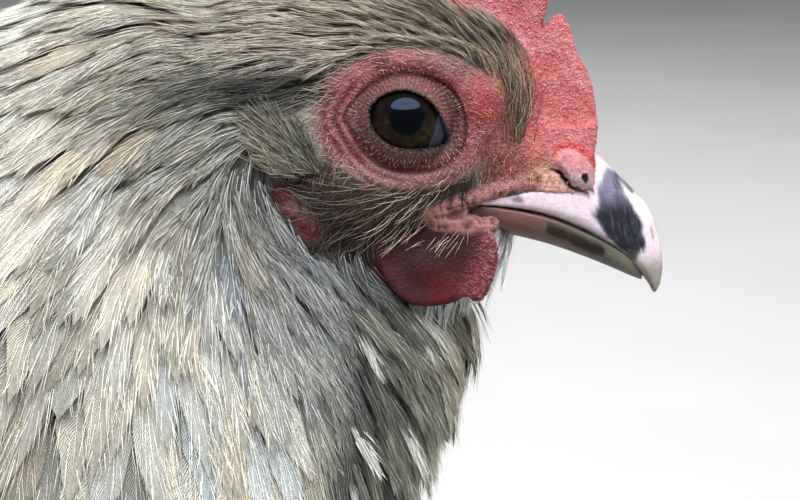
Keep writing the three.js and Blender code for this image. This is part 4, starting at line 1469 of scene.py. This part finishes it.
def lay_barbs(name, paths, ups, wide, base, kind, rings=3):
    """A pale shaft down each path, and fine barbs that sweep along it and stand a little loose."""
    total = len(paths) * kind.barbs
    owner = np.repeat(np.arange(len(paths)), kind.barbs)
    place = np.tile(np.arange(kind.barbs), len(paths))
    shaft = place == 0
    hand = np.where(place % 2 == 0, 1, -1)
    start = np.where(shaft, 0.1, np.clip(place / kind.barbs * 0.86 + chance.normal(0, 0.04, total), 0, 0.88))
    end = np.where(shaft, 1.02, np.clip(start + chance.uniform(0.3, 0.5, total), 0, 1.0))
    reach = np.where(shaft, 0, chance.uniform(0.4, 1.3, total) * (1 - 0.5 * start) * hand) * wide[owner]
    loft = np.where(shaft, 0.3, 0.25 + chance.normal(0.0, kind.loose, total)) * MM
    inner = chance.uniform(0.15, 0.9, (total, 1))
    share = np.linspace(0, 1, rings)
    spot = np.clip(start[:, None] + (end - start)[:, None] * share, 0, 1)
    points, up, side = (along_path(v, owner, spot) for v in (paths, ups, sideways(paths, ups)))
    outward = reach[:, None] * (inner + (1 - inner) * share ** 0.8)
    points = points + unit(side) * outward[..., None] + unit(up) * (loft[:, None] * (0.4 + share))[..., None]
    points[:, -1] += (points[:, -1] - points[:, -2]) * chance.uniform(0.0, 0.5, (total, 1))
    fine = np.where(shaft, kind.fine * 1.3, kind.fine * chance.uniform(0.7, 1.3, total))
    whiteness = np.where(shaft, 0.45, kind.pale * chance.random(total) ** 2)[:, None, None]
    whiteness = whiteness * np.clip(base.mean(axis=1) / 0.3, 0.2, 1)[owner, None, None]
    shade = chance.uniform(0.78, 1.16, (total, 1, 1)) * (0.86 + 0.26 * share)[None, :, None]
    # Painted shade darkens the barbs where the plumage lies dark between feathers.
    shade = shade * painted_shade(points)[..., None]
    tint = base[owner][:, None] * shade * (1 - whiteness) + linear(*PALE_SHAFT) * whiteness
    feathers(name, points, unit(up), fine[:, None] * MM * (1 - 0.4 * share), tint, STRAND, kind.spine, kind.slot,
             paths[owner, 0])


def lay_feathers(stem, paths, ups, wide, base, kind):
    """Feathers with a vane, a shaft and barbs, split into pieces that stay under the most triangles."""
    count, rings = paths.shape[:2]
    most = MOST_TRIANGLES // (kind.barbs * 10 + 12 * (rings - 2) + 26)
    for part in np.array_split(np.arange(count), math.ceil(count / most)):
        lay_vanes(next_name(stem + "_vanes"), paths[part], ups[part], wide[part] * kind.vane_width,
                  base[part] * kind.vane_tone, kind)
        lay_barbs(next_name(stem + "_barbs"), paths[part], ups[part], wide[part] * kind.barb_width, base[part], kind)


def lay_strands(stem, paths, ups, half, base, dark_root):
    """Single tapering strands."""
    rings = paths.shape[1]
    tint = base[:, None] * np.linspace(dark_root, 1.1, rings)[None, :, None]
    taper = np.linspace(1, 0.35, rings)
    feathers(next_name(stem), paths, ups, half[:, None] * taper[None], tint, STRAND, HEAD_SPINE, "crown_feathers",
             paths[:, 0])


def lay_hairs(coat, stem, roots, rise, length, turn, tint, half, curve, flow=lie, dark_root=0.7, grown=1.0,
              thicker=0.0):
    """Hairs and bristles from the roots. rise, length and half are ranges in millimetres and turn a spread.

    tint gives the colours of so many hairs, and curve how high each ring stands. grown and thicker change each
    hair's length and half width."""
    count = len(roots)
    lift = curve[None] * chance.uniform(*rise, (count, 1)) * MM
    length = grown * chance.uniform(*length, count) * MM
    paths, ups = coat.trail(roots, length, lift, chance.normal(0, turn, count), flow)
    base = tint(count)
    width = chance.uniform(*half, count) if isinstance(half, tuple) else np.full(count, half)
    lay_strands(stem, paths, ups, (width + thicker) * MM, base, dark_root)


def shades_of(colour, low, high):
    """One colour, made darker or lighter hair by hair."""
    return lambda count: linear(*colour) * chance.uniform(low, high, (count, 1))


def between(dark, pale, power):
    """Colours between two, hair by hair, fewer near the pale one the higher the power."""
    return lambda count: wash(dark, (pale, chance.random(count) ** power))


# ---- Where each kind of feather grows ----

# Where the neck's feathers begin: how far back at each height, and how far down at each place along.
HACKLE_REAR = [(-17.6, -11.3), (-15.9, -12.8), (-12.7, -15.6), (-7.7, -18.9), (-4, -20.2), (0, -20), (4, -20.8)]
HACKLE_LOW = [(-12.7, -16.4), (-10.9, -18.2), (-6.5, -16.6), (20, -16.6)]
# The folded wing in side view, in millimetres: how far along, its lower edge and its upper edge.
WING_EDGE = np.array([
    [-138, 118, 133], [-118, 106, 140], [-92, 90, 145], [-62, 75, 149], [-28, 63, 151], [10, 58, 151], [52, 64, 147]])


def feathered(points):
    """1 where the head and neck carry feathers, 0 on the bare flesh."""
    q = one_sided(to_head(points))
    near = near_head(q)
    clear = np.ones(len(q))
    clear[near] = 1 - smoothstep(0.05, 0.4, bareness(face_masks(q[near])))
    return clear


def hackle_zone(points):
    q = one_sided(to_head(points))
    reach = np.hypot(q[:, 0] + 6, q[:, 2] - 2)
    p = np.asarray(points) / MM
    neck = smoothstep(12, 16, reach + 0.7 * np.maximum(q[:, 2] - 4, 0)) * smoothstep(92, 112, p[:, 2])
    behind = q[:, 0] < np.interp(q[:, 2], *zip(*HACKLE_REAR))
    below = q[:, 2] < np.interp(q[:, 0], *zip(*HACKLE_LOW))
    return neck * (behind | below) * (p[:, 0] > 20) * feathered(points)


def fan_zone(points):
    """The place below the ear where the neck's feathers fan apart, and so must start closer together."""
    x, y, z = one_sided(to_head(points)).T
    return hackle_zone(points) * bell((x, -22.5, 4.5), (z, -9.5, 5.5))


def crown_zone(points):
    x, y, z = one_sided(to_head(points)).T
    on_head = smoothstep(-34, -30, x) * smoothstep(-10, -6, z - 0.2 * x)
    cheek = (x > -20) & (z < 2.6) & (y > 6)
    return on_head * (1 - hackle_zone(points)) * feathered(points) * ~cheek


def chin_zone(points):
    x, y, z = to_head(points).T
    under = (np.abs(y) < 4.8) & (x > -4) & (x < 16)
    return under * smoothstep(-12.4, -13.4, z) * smoothstep(-26, -21, z)


def throat_zone(points):
    x, y, z = to_head(points).T
    wide = smoothstep(14, 10, np.abs(y)) * (x > -9)
    return wide * smoothstep(-23, -26, z) * smoothstep(-62, -48, z) * hackle_zone(points)


def on_wing(points):
    x, y, z = np.asarray(points).T / MM
    low, top = (np.interp(x, WING_EDGE[:, 0], WING_EDGE[:, k]) for k in (1, 2))
    return (x > WING_EDGE[0, 0]) & (x < WING_EDGE[-1, 0]) & (z > low + 4) & (z < top - 15) & (np.abs(y) > 42)


def contour_zone(points):
    q = one_sided(to_head(points))
    x, y, z = np.asarray(points).T / MM
    trunk = smoothstep(128, 106, z) + (x < 30)
    return np.clip(trunk, 0, 1) * (np.linalg.norm(q, axis=1) > 40) * smoothstep(4, 9, z) * ~on_wing(points)


# ---- The coat, from head to tail ----

def varied(base, dark):
    """Feather by feather changes of colour: most a little warmer or cooler, a few much darker."""
    count = len(base)
    warmth = chance.normal(0, 0.035, (count, 1)) * np.array([1.0, 0.1, -1.4])
    depth = np.where(chance.random(count) < dark, chance.uniform(0.4, 0.65, count), chance.uniform(0.93, 1.1, count))
    return base * (1 + warmth) * depth[:, None]


def make_hackles(coat):
    """The neck's pointed feathers, small below the ear and long and soft towards the shoulders."""
    def from_ear(roots):
        return np.linalg.norm(to_head(roots) - [-10, 0, 0], axis=1)

    roots = np.concatenate([coat.scatter(2.5, fan_zone, 45), coat.scatter(0.6, hackle_zone, 190)])
    roots = coat.spaced(roots, (1.5 + 2.0 * smoothstep(15, 65, from_ear(roots))) * (1 - 0.45 * fan_zone(roots)))
    count = len(roots)
    grown = smoothstep(14, 62, from_ear(roots))
    length = (8 + 14 * grown) * chance.uniform(0.85, 1.2, count) * MM
    lift = eased(7, 0.2, 0.85, 0.8)[None] * coat_depth(roots)[:, None] * MM * chance.uniform(0.75, 1.05, (count, 1))
    paths, ups = coat.trail(roots, length, lift, chance.normal(0, 0.1, count))
    base = varied(plumage(roots), 0.05)
    lay_feathers("hackle", paths, ups, (0.85 + 2.5 * grown) * chance.uniform(0.85, 1.2, count) * MM, base, HACKLE)


def make_crown(coat):
    """The short fine feathers over the skull and behind the eye."""
    roots = coat.spaced(coat.scatter(2.4, crown_zone, 60), 0.85)
    count = len(roots)
    grown = smoothstep(18, -26, to_head(roots)[:, 0])
    length = (4.2 + 3.8 * grown) * chance.uniform(0.8, 1.25, count) * MM
    lift = eased(5, 0.05, 1.0)[None] * chance.uniform(0.7, 1.7, (count, 1)) * MM
    paths, ups = coat.trail(roots, length, lift, chance.normal(0, 0.12, count))
    base = plumage(roots) * chance.uniform(0.76, 1.46, (count, 1))
    lay_feathers("crown", paths, ups, (0.34 + 0.34 * grown) * MM, base, CROWN)


def swept(points):
    """Down and back over the cheek."""
    x, y, z = to_head(points).T
    angle = np.radians(np.clip(170 + 2.6 * (x + 8) + 4.2 * (-8 - z), 160, 226))
    return toward(np.cos(angle), np.sin(angle))


def bristled(q):
    """Where long bristles grow under the eye's ring, down to the mouth."""
    x, y, z = q.T
    band = smoothstep(-1.8, -0.8, below_ring(q)) * smoothstep(8.5, 2.5, below_ring(q))
    short_of_mouth = (x < 3.5) | (z > -10.6 + 0.75 * (x - 3.5))
    return band * short_of_mouth * (z < -4.5 - 0.2 * np.maximum(x, -8)) * (z > -15.5 + 0.25 * x)


def make_cheeks(coat):
    """Dark down under the eye, with long thin cream bristles laid over it, down and back."""
    down = coat.beside(9, (-20, -22), (12, 0), lambda q: 1 - smoothstep(0.1, 0.4, bareness(face_masks(q))), 0.5)
    lay_hairs(coat, "cheek_down", down, (0.3, 1.1), (1.6, 3.2), 0.35, between((30, 24, 20), (84, 68, 58), 1.8),
              (0.07, 0.12), eased(4, 0.0, 1.0), dark_root=0.6)

    bristles = coat.beside(6, (-14, -20), (11, -2), bristled, 0.84)
    x = to_head(bristles)[:, 0]
    front = smoothstep(-7, 1, x)

    def cream(count):
        light = chance.uniform(0.08, 0.62, count) ** 1.3 + 0.85 * front * chance.random(count)
        return linear(206, 182, 160) * light[:, None]

    lay_hairs(coat, "cheek_bristles", bristles, (0.7, 2.0), (0.6, 1.3), 0.09, cream, (0.028, 0.05),
              np.sin(np.linspace(0, 2.4, 7)), swept, 0.5, 2.4 + 3.8 * smoothstep(8, -1, x), 0.02 * front)


def make_wattle_bristles(coat, count=22):
    """A few pale bristles under the corner of the mouth, which curve down over the wattle."""
    for side in SIDES:
        roots = coat.seen_from_side(chance.uniform(-1.5, 9.5, count), chance.uniform(-17.2, -15.2, count), side)
        lay_hairs(coat, f"wattle_bristles_{side}", roots, (0.6, 1.5), (1.6, 3.4), 0.2,
                  shades_of((226, 200, 184), 0.5, 1.0), 0.04, np.sin(np.linspace(0, 2.2, 7)), swept)


# The ear tuft's strands spread from one place, as far as this at each turn in degrees.
TUFT_FOOT = np.array([-12.0, -6.6])
TUFT_REACH = [(106, 5.0), (112, 7.4), (121, 9.1), (127, 11.4), (135, 12.2), (148, 13.7), (152, 12.4), (163, 11.1),
              (170, 10.9), (177, 9.3), (186, 7.0)]


def make_ear_tufts(coat, strands=700, rings=6):
    """The fluffy fan of fine strands that sweeps up and back over the ear."""
    def fan(points):
        x, y, z = to_head(points).T
        return unit(toward(x - TUFT_FOOT[0] - 1.5, z - TUFT_FOOT[1] + 1.5))

    for side in SIDES:
        turn = chance.uniform(106, 186, strands)
        full = np.interp(turn, *zip(*TUFT_REACH)) * chance.uniform(0.92, 1.08, strands)
        start = chance.random(strands) ** 0.8 * 0.8
        x = TUFT_FOOT[0] + start * full * np.cos(np.radians(turn)) + chance.normal(0, 0.25, strands)
        z = TUFT_FOOT[1] + start * full * np.sin(np.radians(turn)) + chance.normal(0, 0.25, strands)
        roots = coat.seen_from_side(x, z, side)
        length = np.minimum(full * (1 - start), chance.uniform(2.6, 5.2, strands)) * MM
        crest = np.linspace(0, 1, rings)[None] ** 0.8 * chance.uniform(0.4, 1.2, (strands, 1))
        lift = (0.5 + 1.5 * np.sin(math.pi * np.clip(start + 0.15, 0, 1)))[:, None] * MM + crest * MM
        paths, ups = coat.trail(roots, length, lift, chance.normal(0, 0.1, strands), fan)
        tint = wash((48, 48, 40), ((156, 152, 134), chance.random(strands) ** 1.5))
        tint *= (0.62 + 0.38 * smoothstep(110, 136, turn))[:, None]
        low = smoothstep(138, 172, turn) * smoothstep(0.25, 0.7, start)
        tint = wash(tint, ((190, 172, 156), 0.6 * low * chance.random(strands)))
        lay_strands(f"ear_tuft_{side}", paths, ups, chance.uniform(0.045, 0.09, strands) * MM, tint, 0.7)


def lid_spots(offset, first, last, gap):
    """Places in side view round the eye, so far outside the opening, between two turns in degrees."""
    turns = np.arange(first, last, gap)
    turns = np.radians(turns + chance.normal(0, gap * 0.16, len(turns)))
    reach = np.linspace(3, 11, 400)
    x, z = reach * np.cos(turns)[:, None], reach * np.sin(turns)[:, None]
    outside = outline_distance(x.reshape(-1), z.reshape(-1), OPENING).reshape(x.shape) > offset
    found = reach[outside.argmax(axis=1)]
    return found * np.cos(turns), found * np.sin(turns)


def make_lashes(coat):
    """Rows of short bristles on the lids, like lashes."""
    def away(points):
        x, y, z = to_head(points).T
        return unit(toward(x * 0.9 - 1.6, z * 1.15))

    for side in SIDES:
        rows = [lid_spots(1.5, 196, 342, 5.4), lid_spots(2.2, 200, 336, 6.2), lid_spots(2.7, 12, 176, 4.6)]
        roots = coat.seen_from_side(*np.concatenate(rows, axis=1), side)
        lay_hairs(coat, f"lashes_{side}", roots, (0.25, 0.5), (0.6, 1.0), 0.14, shades_of((214, 172, 140), 0.6, 1.15),
                  0.046, eased(4, 0.0, 1.0, 0.8), away, 0.8)


def make_ring_hairs(coat):
    """Pale hairs that grow out of the bare ring and lie back over the plumage round it."""
    def border(q):
        rim = below_ring(q)
        return smoothstep(-3.4, -1.2, rim) * smoothstep(2.2, 1.2, rim) * (q[:, 0] < 10) * (q[:, 2] > -7)

    roots = coat.beside(6, (-16, -8), (11, 13), border, 0.62)
    outer = smoothstep(-2.4, 0.4, below_ring(one_sided(to_head(roots))))

    def pink_to_pale(count):
        return wash((206, 160, 146), ((170, 158, 136), outer)) * chance.uniform(0.5, 1.1, (count, 1))

    lay_hairs(coat, "ring_hairs", roots, (0.3, 0.9), (0.7, 1.3), 0.2, pink_to_pale, 0.05, eased(5, 0.0, 1.0, 0.8),
              grown=1.1 + 2.4 * outer)


def make_rim_hairs(coat, count=80):
    """Short curling hairs along the back edge of the ring, which cross the dark gap behind it."""
    def rearward(points):
        return np.tile(HEAD_AXES.T @ np.array([-1.0, 0, 0.12]), (len(points), 1))

    for side in SIDES:
        turn = np.radians(np.linspace(118, 236, count))
        reach = chance.uniform(0.86, 0.99, count)
        x, z = RING_X + RING_LONG * reach * np.cos(turn), RING_Z + RING_HIGH * reach * np.sin(turn)
        lay_hairs(coat, f"rim_hairs_{side}", coat.seen_from_side(x, z, side), (0.4, 0.9), (1.4, 2.8), 0.16,
                  shades_of((200, 176, 156), 0.4, 1.1), 0.04, eased(5, 0.05, 1.0, 0.8), rearward)


def make_lore_hairs(coat, plumes=165, dark=22):
    """Short pale bristles on the lores, and long dark hairs that sweep up from them over the comb's foot."""
    def upward(points):
        x, y, z = to_head(points).T
        angle = np.radians(86 + 3.0 * np.maximum(z, 0) + 2.2 * (15.5 - x))
        return toward(np.cos(angle), np.sin(angle))

    short = coat.beside(4, (9.5, -10), (19, 1), lambda q: face_masks(q)["lore"], 1.0)
    lay_hairs(coat, "lore_bristles", short, (0.3, 0.8), (0.9, 2.0), 0.3, shades_of((196, 160, 120), 0.5, 1.1), 0.045,
              eased(5, 0.0, 1.0, 0.8), dark_root=0.8)
    sweep = eased(9, 0.0, 1.0, 0.8)
    for side in SIDES:
        z = -3.5 + 12.0 * chance.random(plumes) ** 0.8
        front = RING_X + RING_LONG * np.sqrt(1 - ((z - RING_Z) / RING_HIGH) ** 2)
        roots = coat.seen_from_side(front + chance.uniform(-0.3, 2.8, plumes), z, side)
        lay_hairs(coat, f"lore_plumes_{side}", roots, (0.5, 1.7), (4.0, 10.0), 0.1,
                  between((44, 36, 27), (168, 152, 122), 1.7), (0.05, 0.085), sweep, upward, 0.8)
        roots = coat.seen_from_side(chance.uniform(15.2, 18.4, dark), chance.uniform(-3.5, 6.0, dark), side)
        lay_hairs(coat, f"lore_hairs_{side}", roots, (0.5, 1.5), (4.0, 9.5), 0.12, shades_of((52, 34, 26), 0.6, 1.6),
                  0.055, sweep, upward, 0.9)


def make_throat(coat):
    """The soft white feathers that hang from the chin between and behind the wattles."""
    roots = coat.spaced(coat.scatter(9, chin_zone, 50), 0.7)
    count = len(roots)
    x = to_head(roots)[:, 0]
    angle = np.radians(-100 - 1.35 * np.clip(x, -2, 16) + chance.normal(0, 5, count))
    heading = np.stack([np.cos(angle), chance.normal(0, 0.14, count), np.sin(angle)], axis=1) @ HEAD_AXES
    length = (10.4 + 0.05 * np.clip(x, 0, 16)) * chance.uniform(0.72, 1.12, count) * MM
    paths, ups = coat.spray(roots, heading, length, 7, chance.uniform(0.6, 2.6, count) * MM)
    base = wash(linear(255, 255, 250) * 1.25, ((226, 224, 216), 0.6 * chance.random(count) ** 2))
    lay_feathers("chin_ruff", paths, ups, chance.uniform(1.5, 2.3, count) * MM, base, RUFF)


def make_throat_fan(coat):
    """Loose cream and grey feathers below the wattles, which sweep down and forward off the front of the neck."""
    roots = coat.spaced(coat.scatter(3, throat_zone, 75), 1.9)
    count = len(roots)
    x, y, z = to_head(roots).T
    stand = chance.uniform(2.2, 4.6, (count, 1)) + 2.4 * smoothstep(-29, -42, z[:, None])
    length = chance.uniform(7.5, 12.5, count) * MM
    paths, ups = coat.trail(roots, length, eased(7, 0.25, 1.0, 0.8)[None] * stand * MM, chance.normal(0, 0.12, count))
    base = wash((216, 208, 184), ((96, 98, 88), chance.random(count) ** 1.2),
                ((74, 78, 70), 0.75 * smoothstep(3, -5, x)), ((250, 248, 240), 0.8 * (chance.random(count) < 0.14)))
    lay_feathers("throat_fan", paths, ups, chance.uniform(0.9, 1.5, count) * MM, base, THROAT)


def make_contours(coat):
    """The rounded feathers of the breast, back, belly, thighs and tail cushion."""
    roots = coat.scatter(0.12, contour_zone)
    roots = coat.spaced(roots, 5.8 + 2.2 * smoothstep(120, -140, roots[:, 0] / MM))
    count = len(roots)
    grown = smoothstep(120, -140, roots[:, 0] / MM)
    length = (24 + 14 * grown) * chance.uniform(0.88, 1.15, count) * MM
    lift = eased(9, 0.06, 1.0, 0.9)[None] * coat_depth(roots)[:, None] * MM * chance.uniform(0.75, 1.05, (count, 1))
    paths, ups = coat.trail(roots, length, lift, chance.normal(0, 0.08, count))
    base = plumage(roots) * chance.uniform(0.84, 1.12, (count, 1))
    wide = (7.2 + 2.4 * grown) * chance.uniform(0.88, 1.12, count) * MM
    paths[..., 2] = np.maximum(paths[..., 2], 1.2 * MM)
    lay_feathers("contour", paths, ups, wide, base, CONTOUR)


def wing_path(coat, side, start, end, lift, rings=len(FLIGHT.shape)):
    """A path over the folded wing from one place in side view to another, in millimetres."""
    sign = SIDES[side]
    points, ups = [], []
    for share in np.linspace(0, 1, rings):
        x, z = (np.array(start) * (1 - share) + np.array(end) * share) * MM
        hit, normal = coat.tree.ray_cast((x, sign * 0.2, z), (0, -sign, 0))[:2]
        if hit is None or abs(hit.y) < 0.03:
            hit, normal = Vector((x, points[-1][1], z)), Vector(ups[-1])
        flat = unit(np.array(normal) * [0.35, 1, 0.5])
        points.append(np.array(hit) + flat * (lift * share ** 0.6) * MM)
        ups.append(flat)
    return np.array(points), np.array(ups)


def lay_flights(stem, runs, wide, base):
    """Long stiff feathers, with a raised shaft."""
    paths, ups = (np.array(part) for part in zip(*runs))
    for _ in range(3):
        paths[:, 1:-1] = (paths[:, :-2] + 2 * paths[:, 1:-1] + paths[:, 2:]) / 4
    lay_feathers(stem, paths, ups, wide, base, FLIGHT)


def make_quills(coat, side):
    """The folded wing's long feathers: 5 primaries low down and 10 secondaries over them."""
    primaries = [wing_path(coat, side, (34 - 10 * t, 66 + 8 * t), (-78 - 30 * t, 84 + 26 * t), 1.0 + 1.5 * t)
                 for t in np.linspace(0, 1, 5)]
    tint = linear(150, 144, 132) * chance.uniform(0.85, 1.05, (5, 1))
    lay_flights(f"primaries_{side}", primaries, np.full(5, 8.0 * MM), tint)
    secondaries = [wing_path(coat, side, (52 - 34 * t, 72 + 55 * t), (-58 - 74 * t, 80 + 42 * t),
                             2.8 + 3.6 * t + 0.7 * (k % 2)) for k, t in enumerate(np.linspace(0, 1, 10))]
    tint = wash((168, 162, 146), (CREAM_WHITE, chance.random(10) * 0.85))
    lay_flights(f"secondaries_{side}", secondaries, np.full(10, 9.5 * MM), tint)


# The rows of wing coverts: how far forward they start, their length, half width and height over the skin.
COVERT_ROWS = ((4, 46, 8.5, 6.8), (28, 36, 7.5, 7.6), (50, 28, 6.5, 8.2), (70, 22, 5.5, 8.6))


def make_coverts(coat, side):
    for row, (place, reach, half, high) in enumerate(COVERT_ROWS):
        number = 10 - row
        coverts = []
        for k, t in enumerate(np.linspace(0.02, 1, number)):
            x = place + 20 + 4 * math.sin(3 * t) - 10 * t + chance.normal(0, 2.6)
            z = 72 + 60 * t - 2 * row + chance.normal(0, 1.2)
            end = (x - reach * chance.uniform(0.84, 1.16), z - 1 + 3 * (0.5 - t) + chance.normal(0, 1.5))
            coverts.append(wing_path(coat, side, (x, z), end, high + 0.6 * (k % 2)))
        tint = plumage(np.array([run[0][0] for run in coverts])) * chance.uniform(0.72, 1.14, (number, 1))
        lay_flights(f"coverts_{row + 1}_{side}", coverts, half * chance.uniform(0.74, 0.96, number) * MM, tint)


def make_wings(coat):
    for side in SIDES:
        make_quills(coat, side)
        make_coverts(coat, side)


def tail_feather(root, sign, t, rings=len(FLIGHT.shape)):
    """The path of one tail feather, from the middle of the fan at 0 to its edge at 1."""
    angle, tilt = math.radians(64 - 44 * t), math.radians(22 + 20 * t)
    share = np.linspace(0.05, 1, rings)[:, None]
    aside = sign * (3.5 + 17 * t * share[:, 0] + 2.0 * share[:, 0] ** 2)
    heading = np.array([-math.cos(angle), 0, math.sin(angle)])
    path = root + heading * (104 - 8 * abs(t - 0.45)) * share + np.array([0, 1, 0]) * aside[:, None]
    path[:, 2] -= 5 * share[:, 0] ** 2
    up = unit(np.array([math.sin(angle) * 0.4, sign * math.cos(tilt), math.sin(tilt)]))
    return path * MM, np.tile(up, (rings, 1))


def make_tail(count=7):
    """The tail's two roofed halves of stiff feathers, fanned up from the tail's root."""
    for side, sign in SIDES.items():
        low, high = (np.array(corner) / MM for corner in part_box(f"tail_{side}"))
        root = np.array([high[0] + 12, 0, low[2] - 8])
        runs = [tail_feather(root, sign, t) for t in np.linspace(0, 1, count)]
        tint = linear(148, 140, 126) * chance.uniform(0.85, 1.1, (count, 1))
        lay_flights(f"tail_{side}", runs, np.full(count, 12.5 * MM), tint)


def make_scales(gap=2.6):
    """Overlapping scutes along the top of each shank and toe."""
    up = np.array([0.0, 0.0, 1.0])
    for side in SIDES:
        paths, halves = [], []
        for node in leg_nodes(side):
            start, end, thick = axis_of(node)
            radius = SHANK_RADIUS if node.startswith("shank") else toe_radius(thick)
            run = unit(end - start)
            for k in range(int(np.linalg.norm(end - start) / gap)):
                seat = start + run * (k + 0.2) * gap + up * (radius * 0.93)
                paths.append(seat + run * np.linspace(0, 3.4, 6)[:, None] + up * np.linspace(0, 0.35, 6)[:, None])
                halves.append(radius * 0.72 * np.array([0.9, 1.0, 1.0, 0.95, 0.7, 0.0]))
        paths, halves = np.array(paths) * MM, np.array(halves) * MM
        tint = np.tile(linear(*LEG_COLOUR), (len(paths), 6, 1)) * chance.uniform(0.85, 1.1, (len(paths), 1, 1))
        piece = feathers(f"leg_scales_{side}", paths, np.tile(up, (len(paths), 6, 1)), halves, tint, VANE, BODY_SPINE,
                         "leg_scales", paths[:, 0])
        piece.data.materials.clear()
        piece.data.materials.append(horn_material("leg_scale", 0.4))


make_camera()
make_stage()
skin = make_skin()
make_bill()
for side in SIDES:
    make_eye(side)
make_claws()
coat = Coat(skin)
for make in (make_hackles, make_crown, make_cheeks, make_wattle_bristles, make_ear_tufts, make_lashes,
             make_ring_hairs, make_rim_hairs, make_lore_hairs, make_throat, make_throat_fan, make_contours,
             make_wings):
    make(coat)
make_tail()
make_scales()
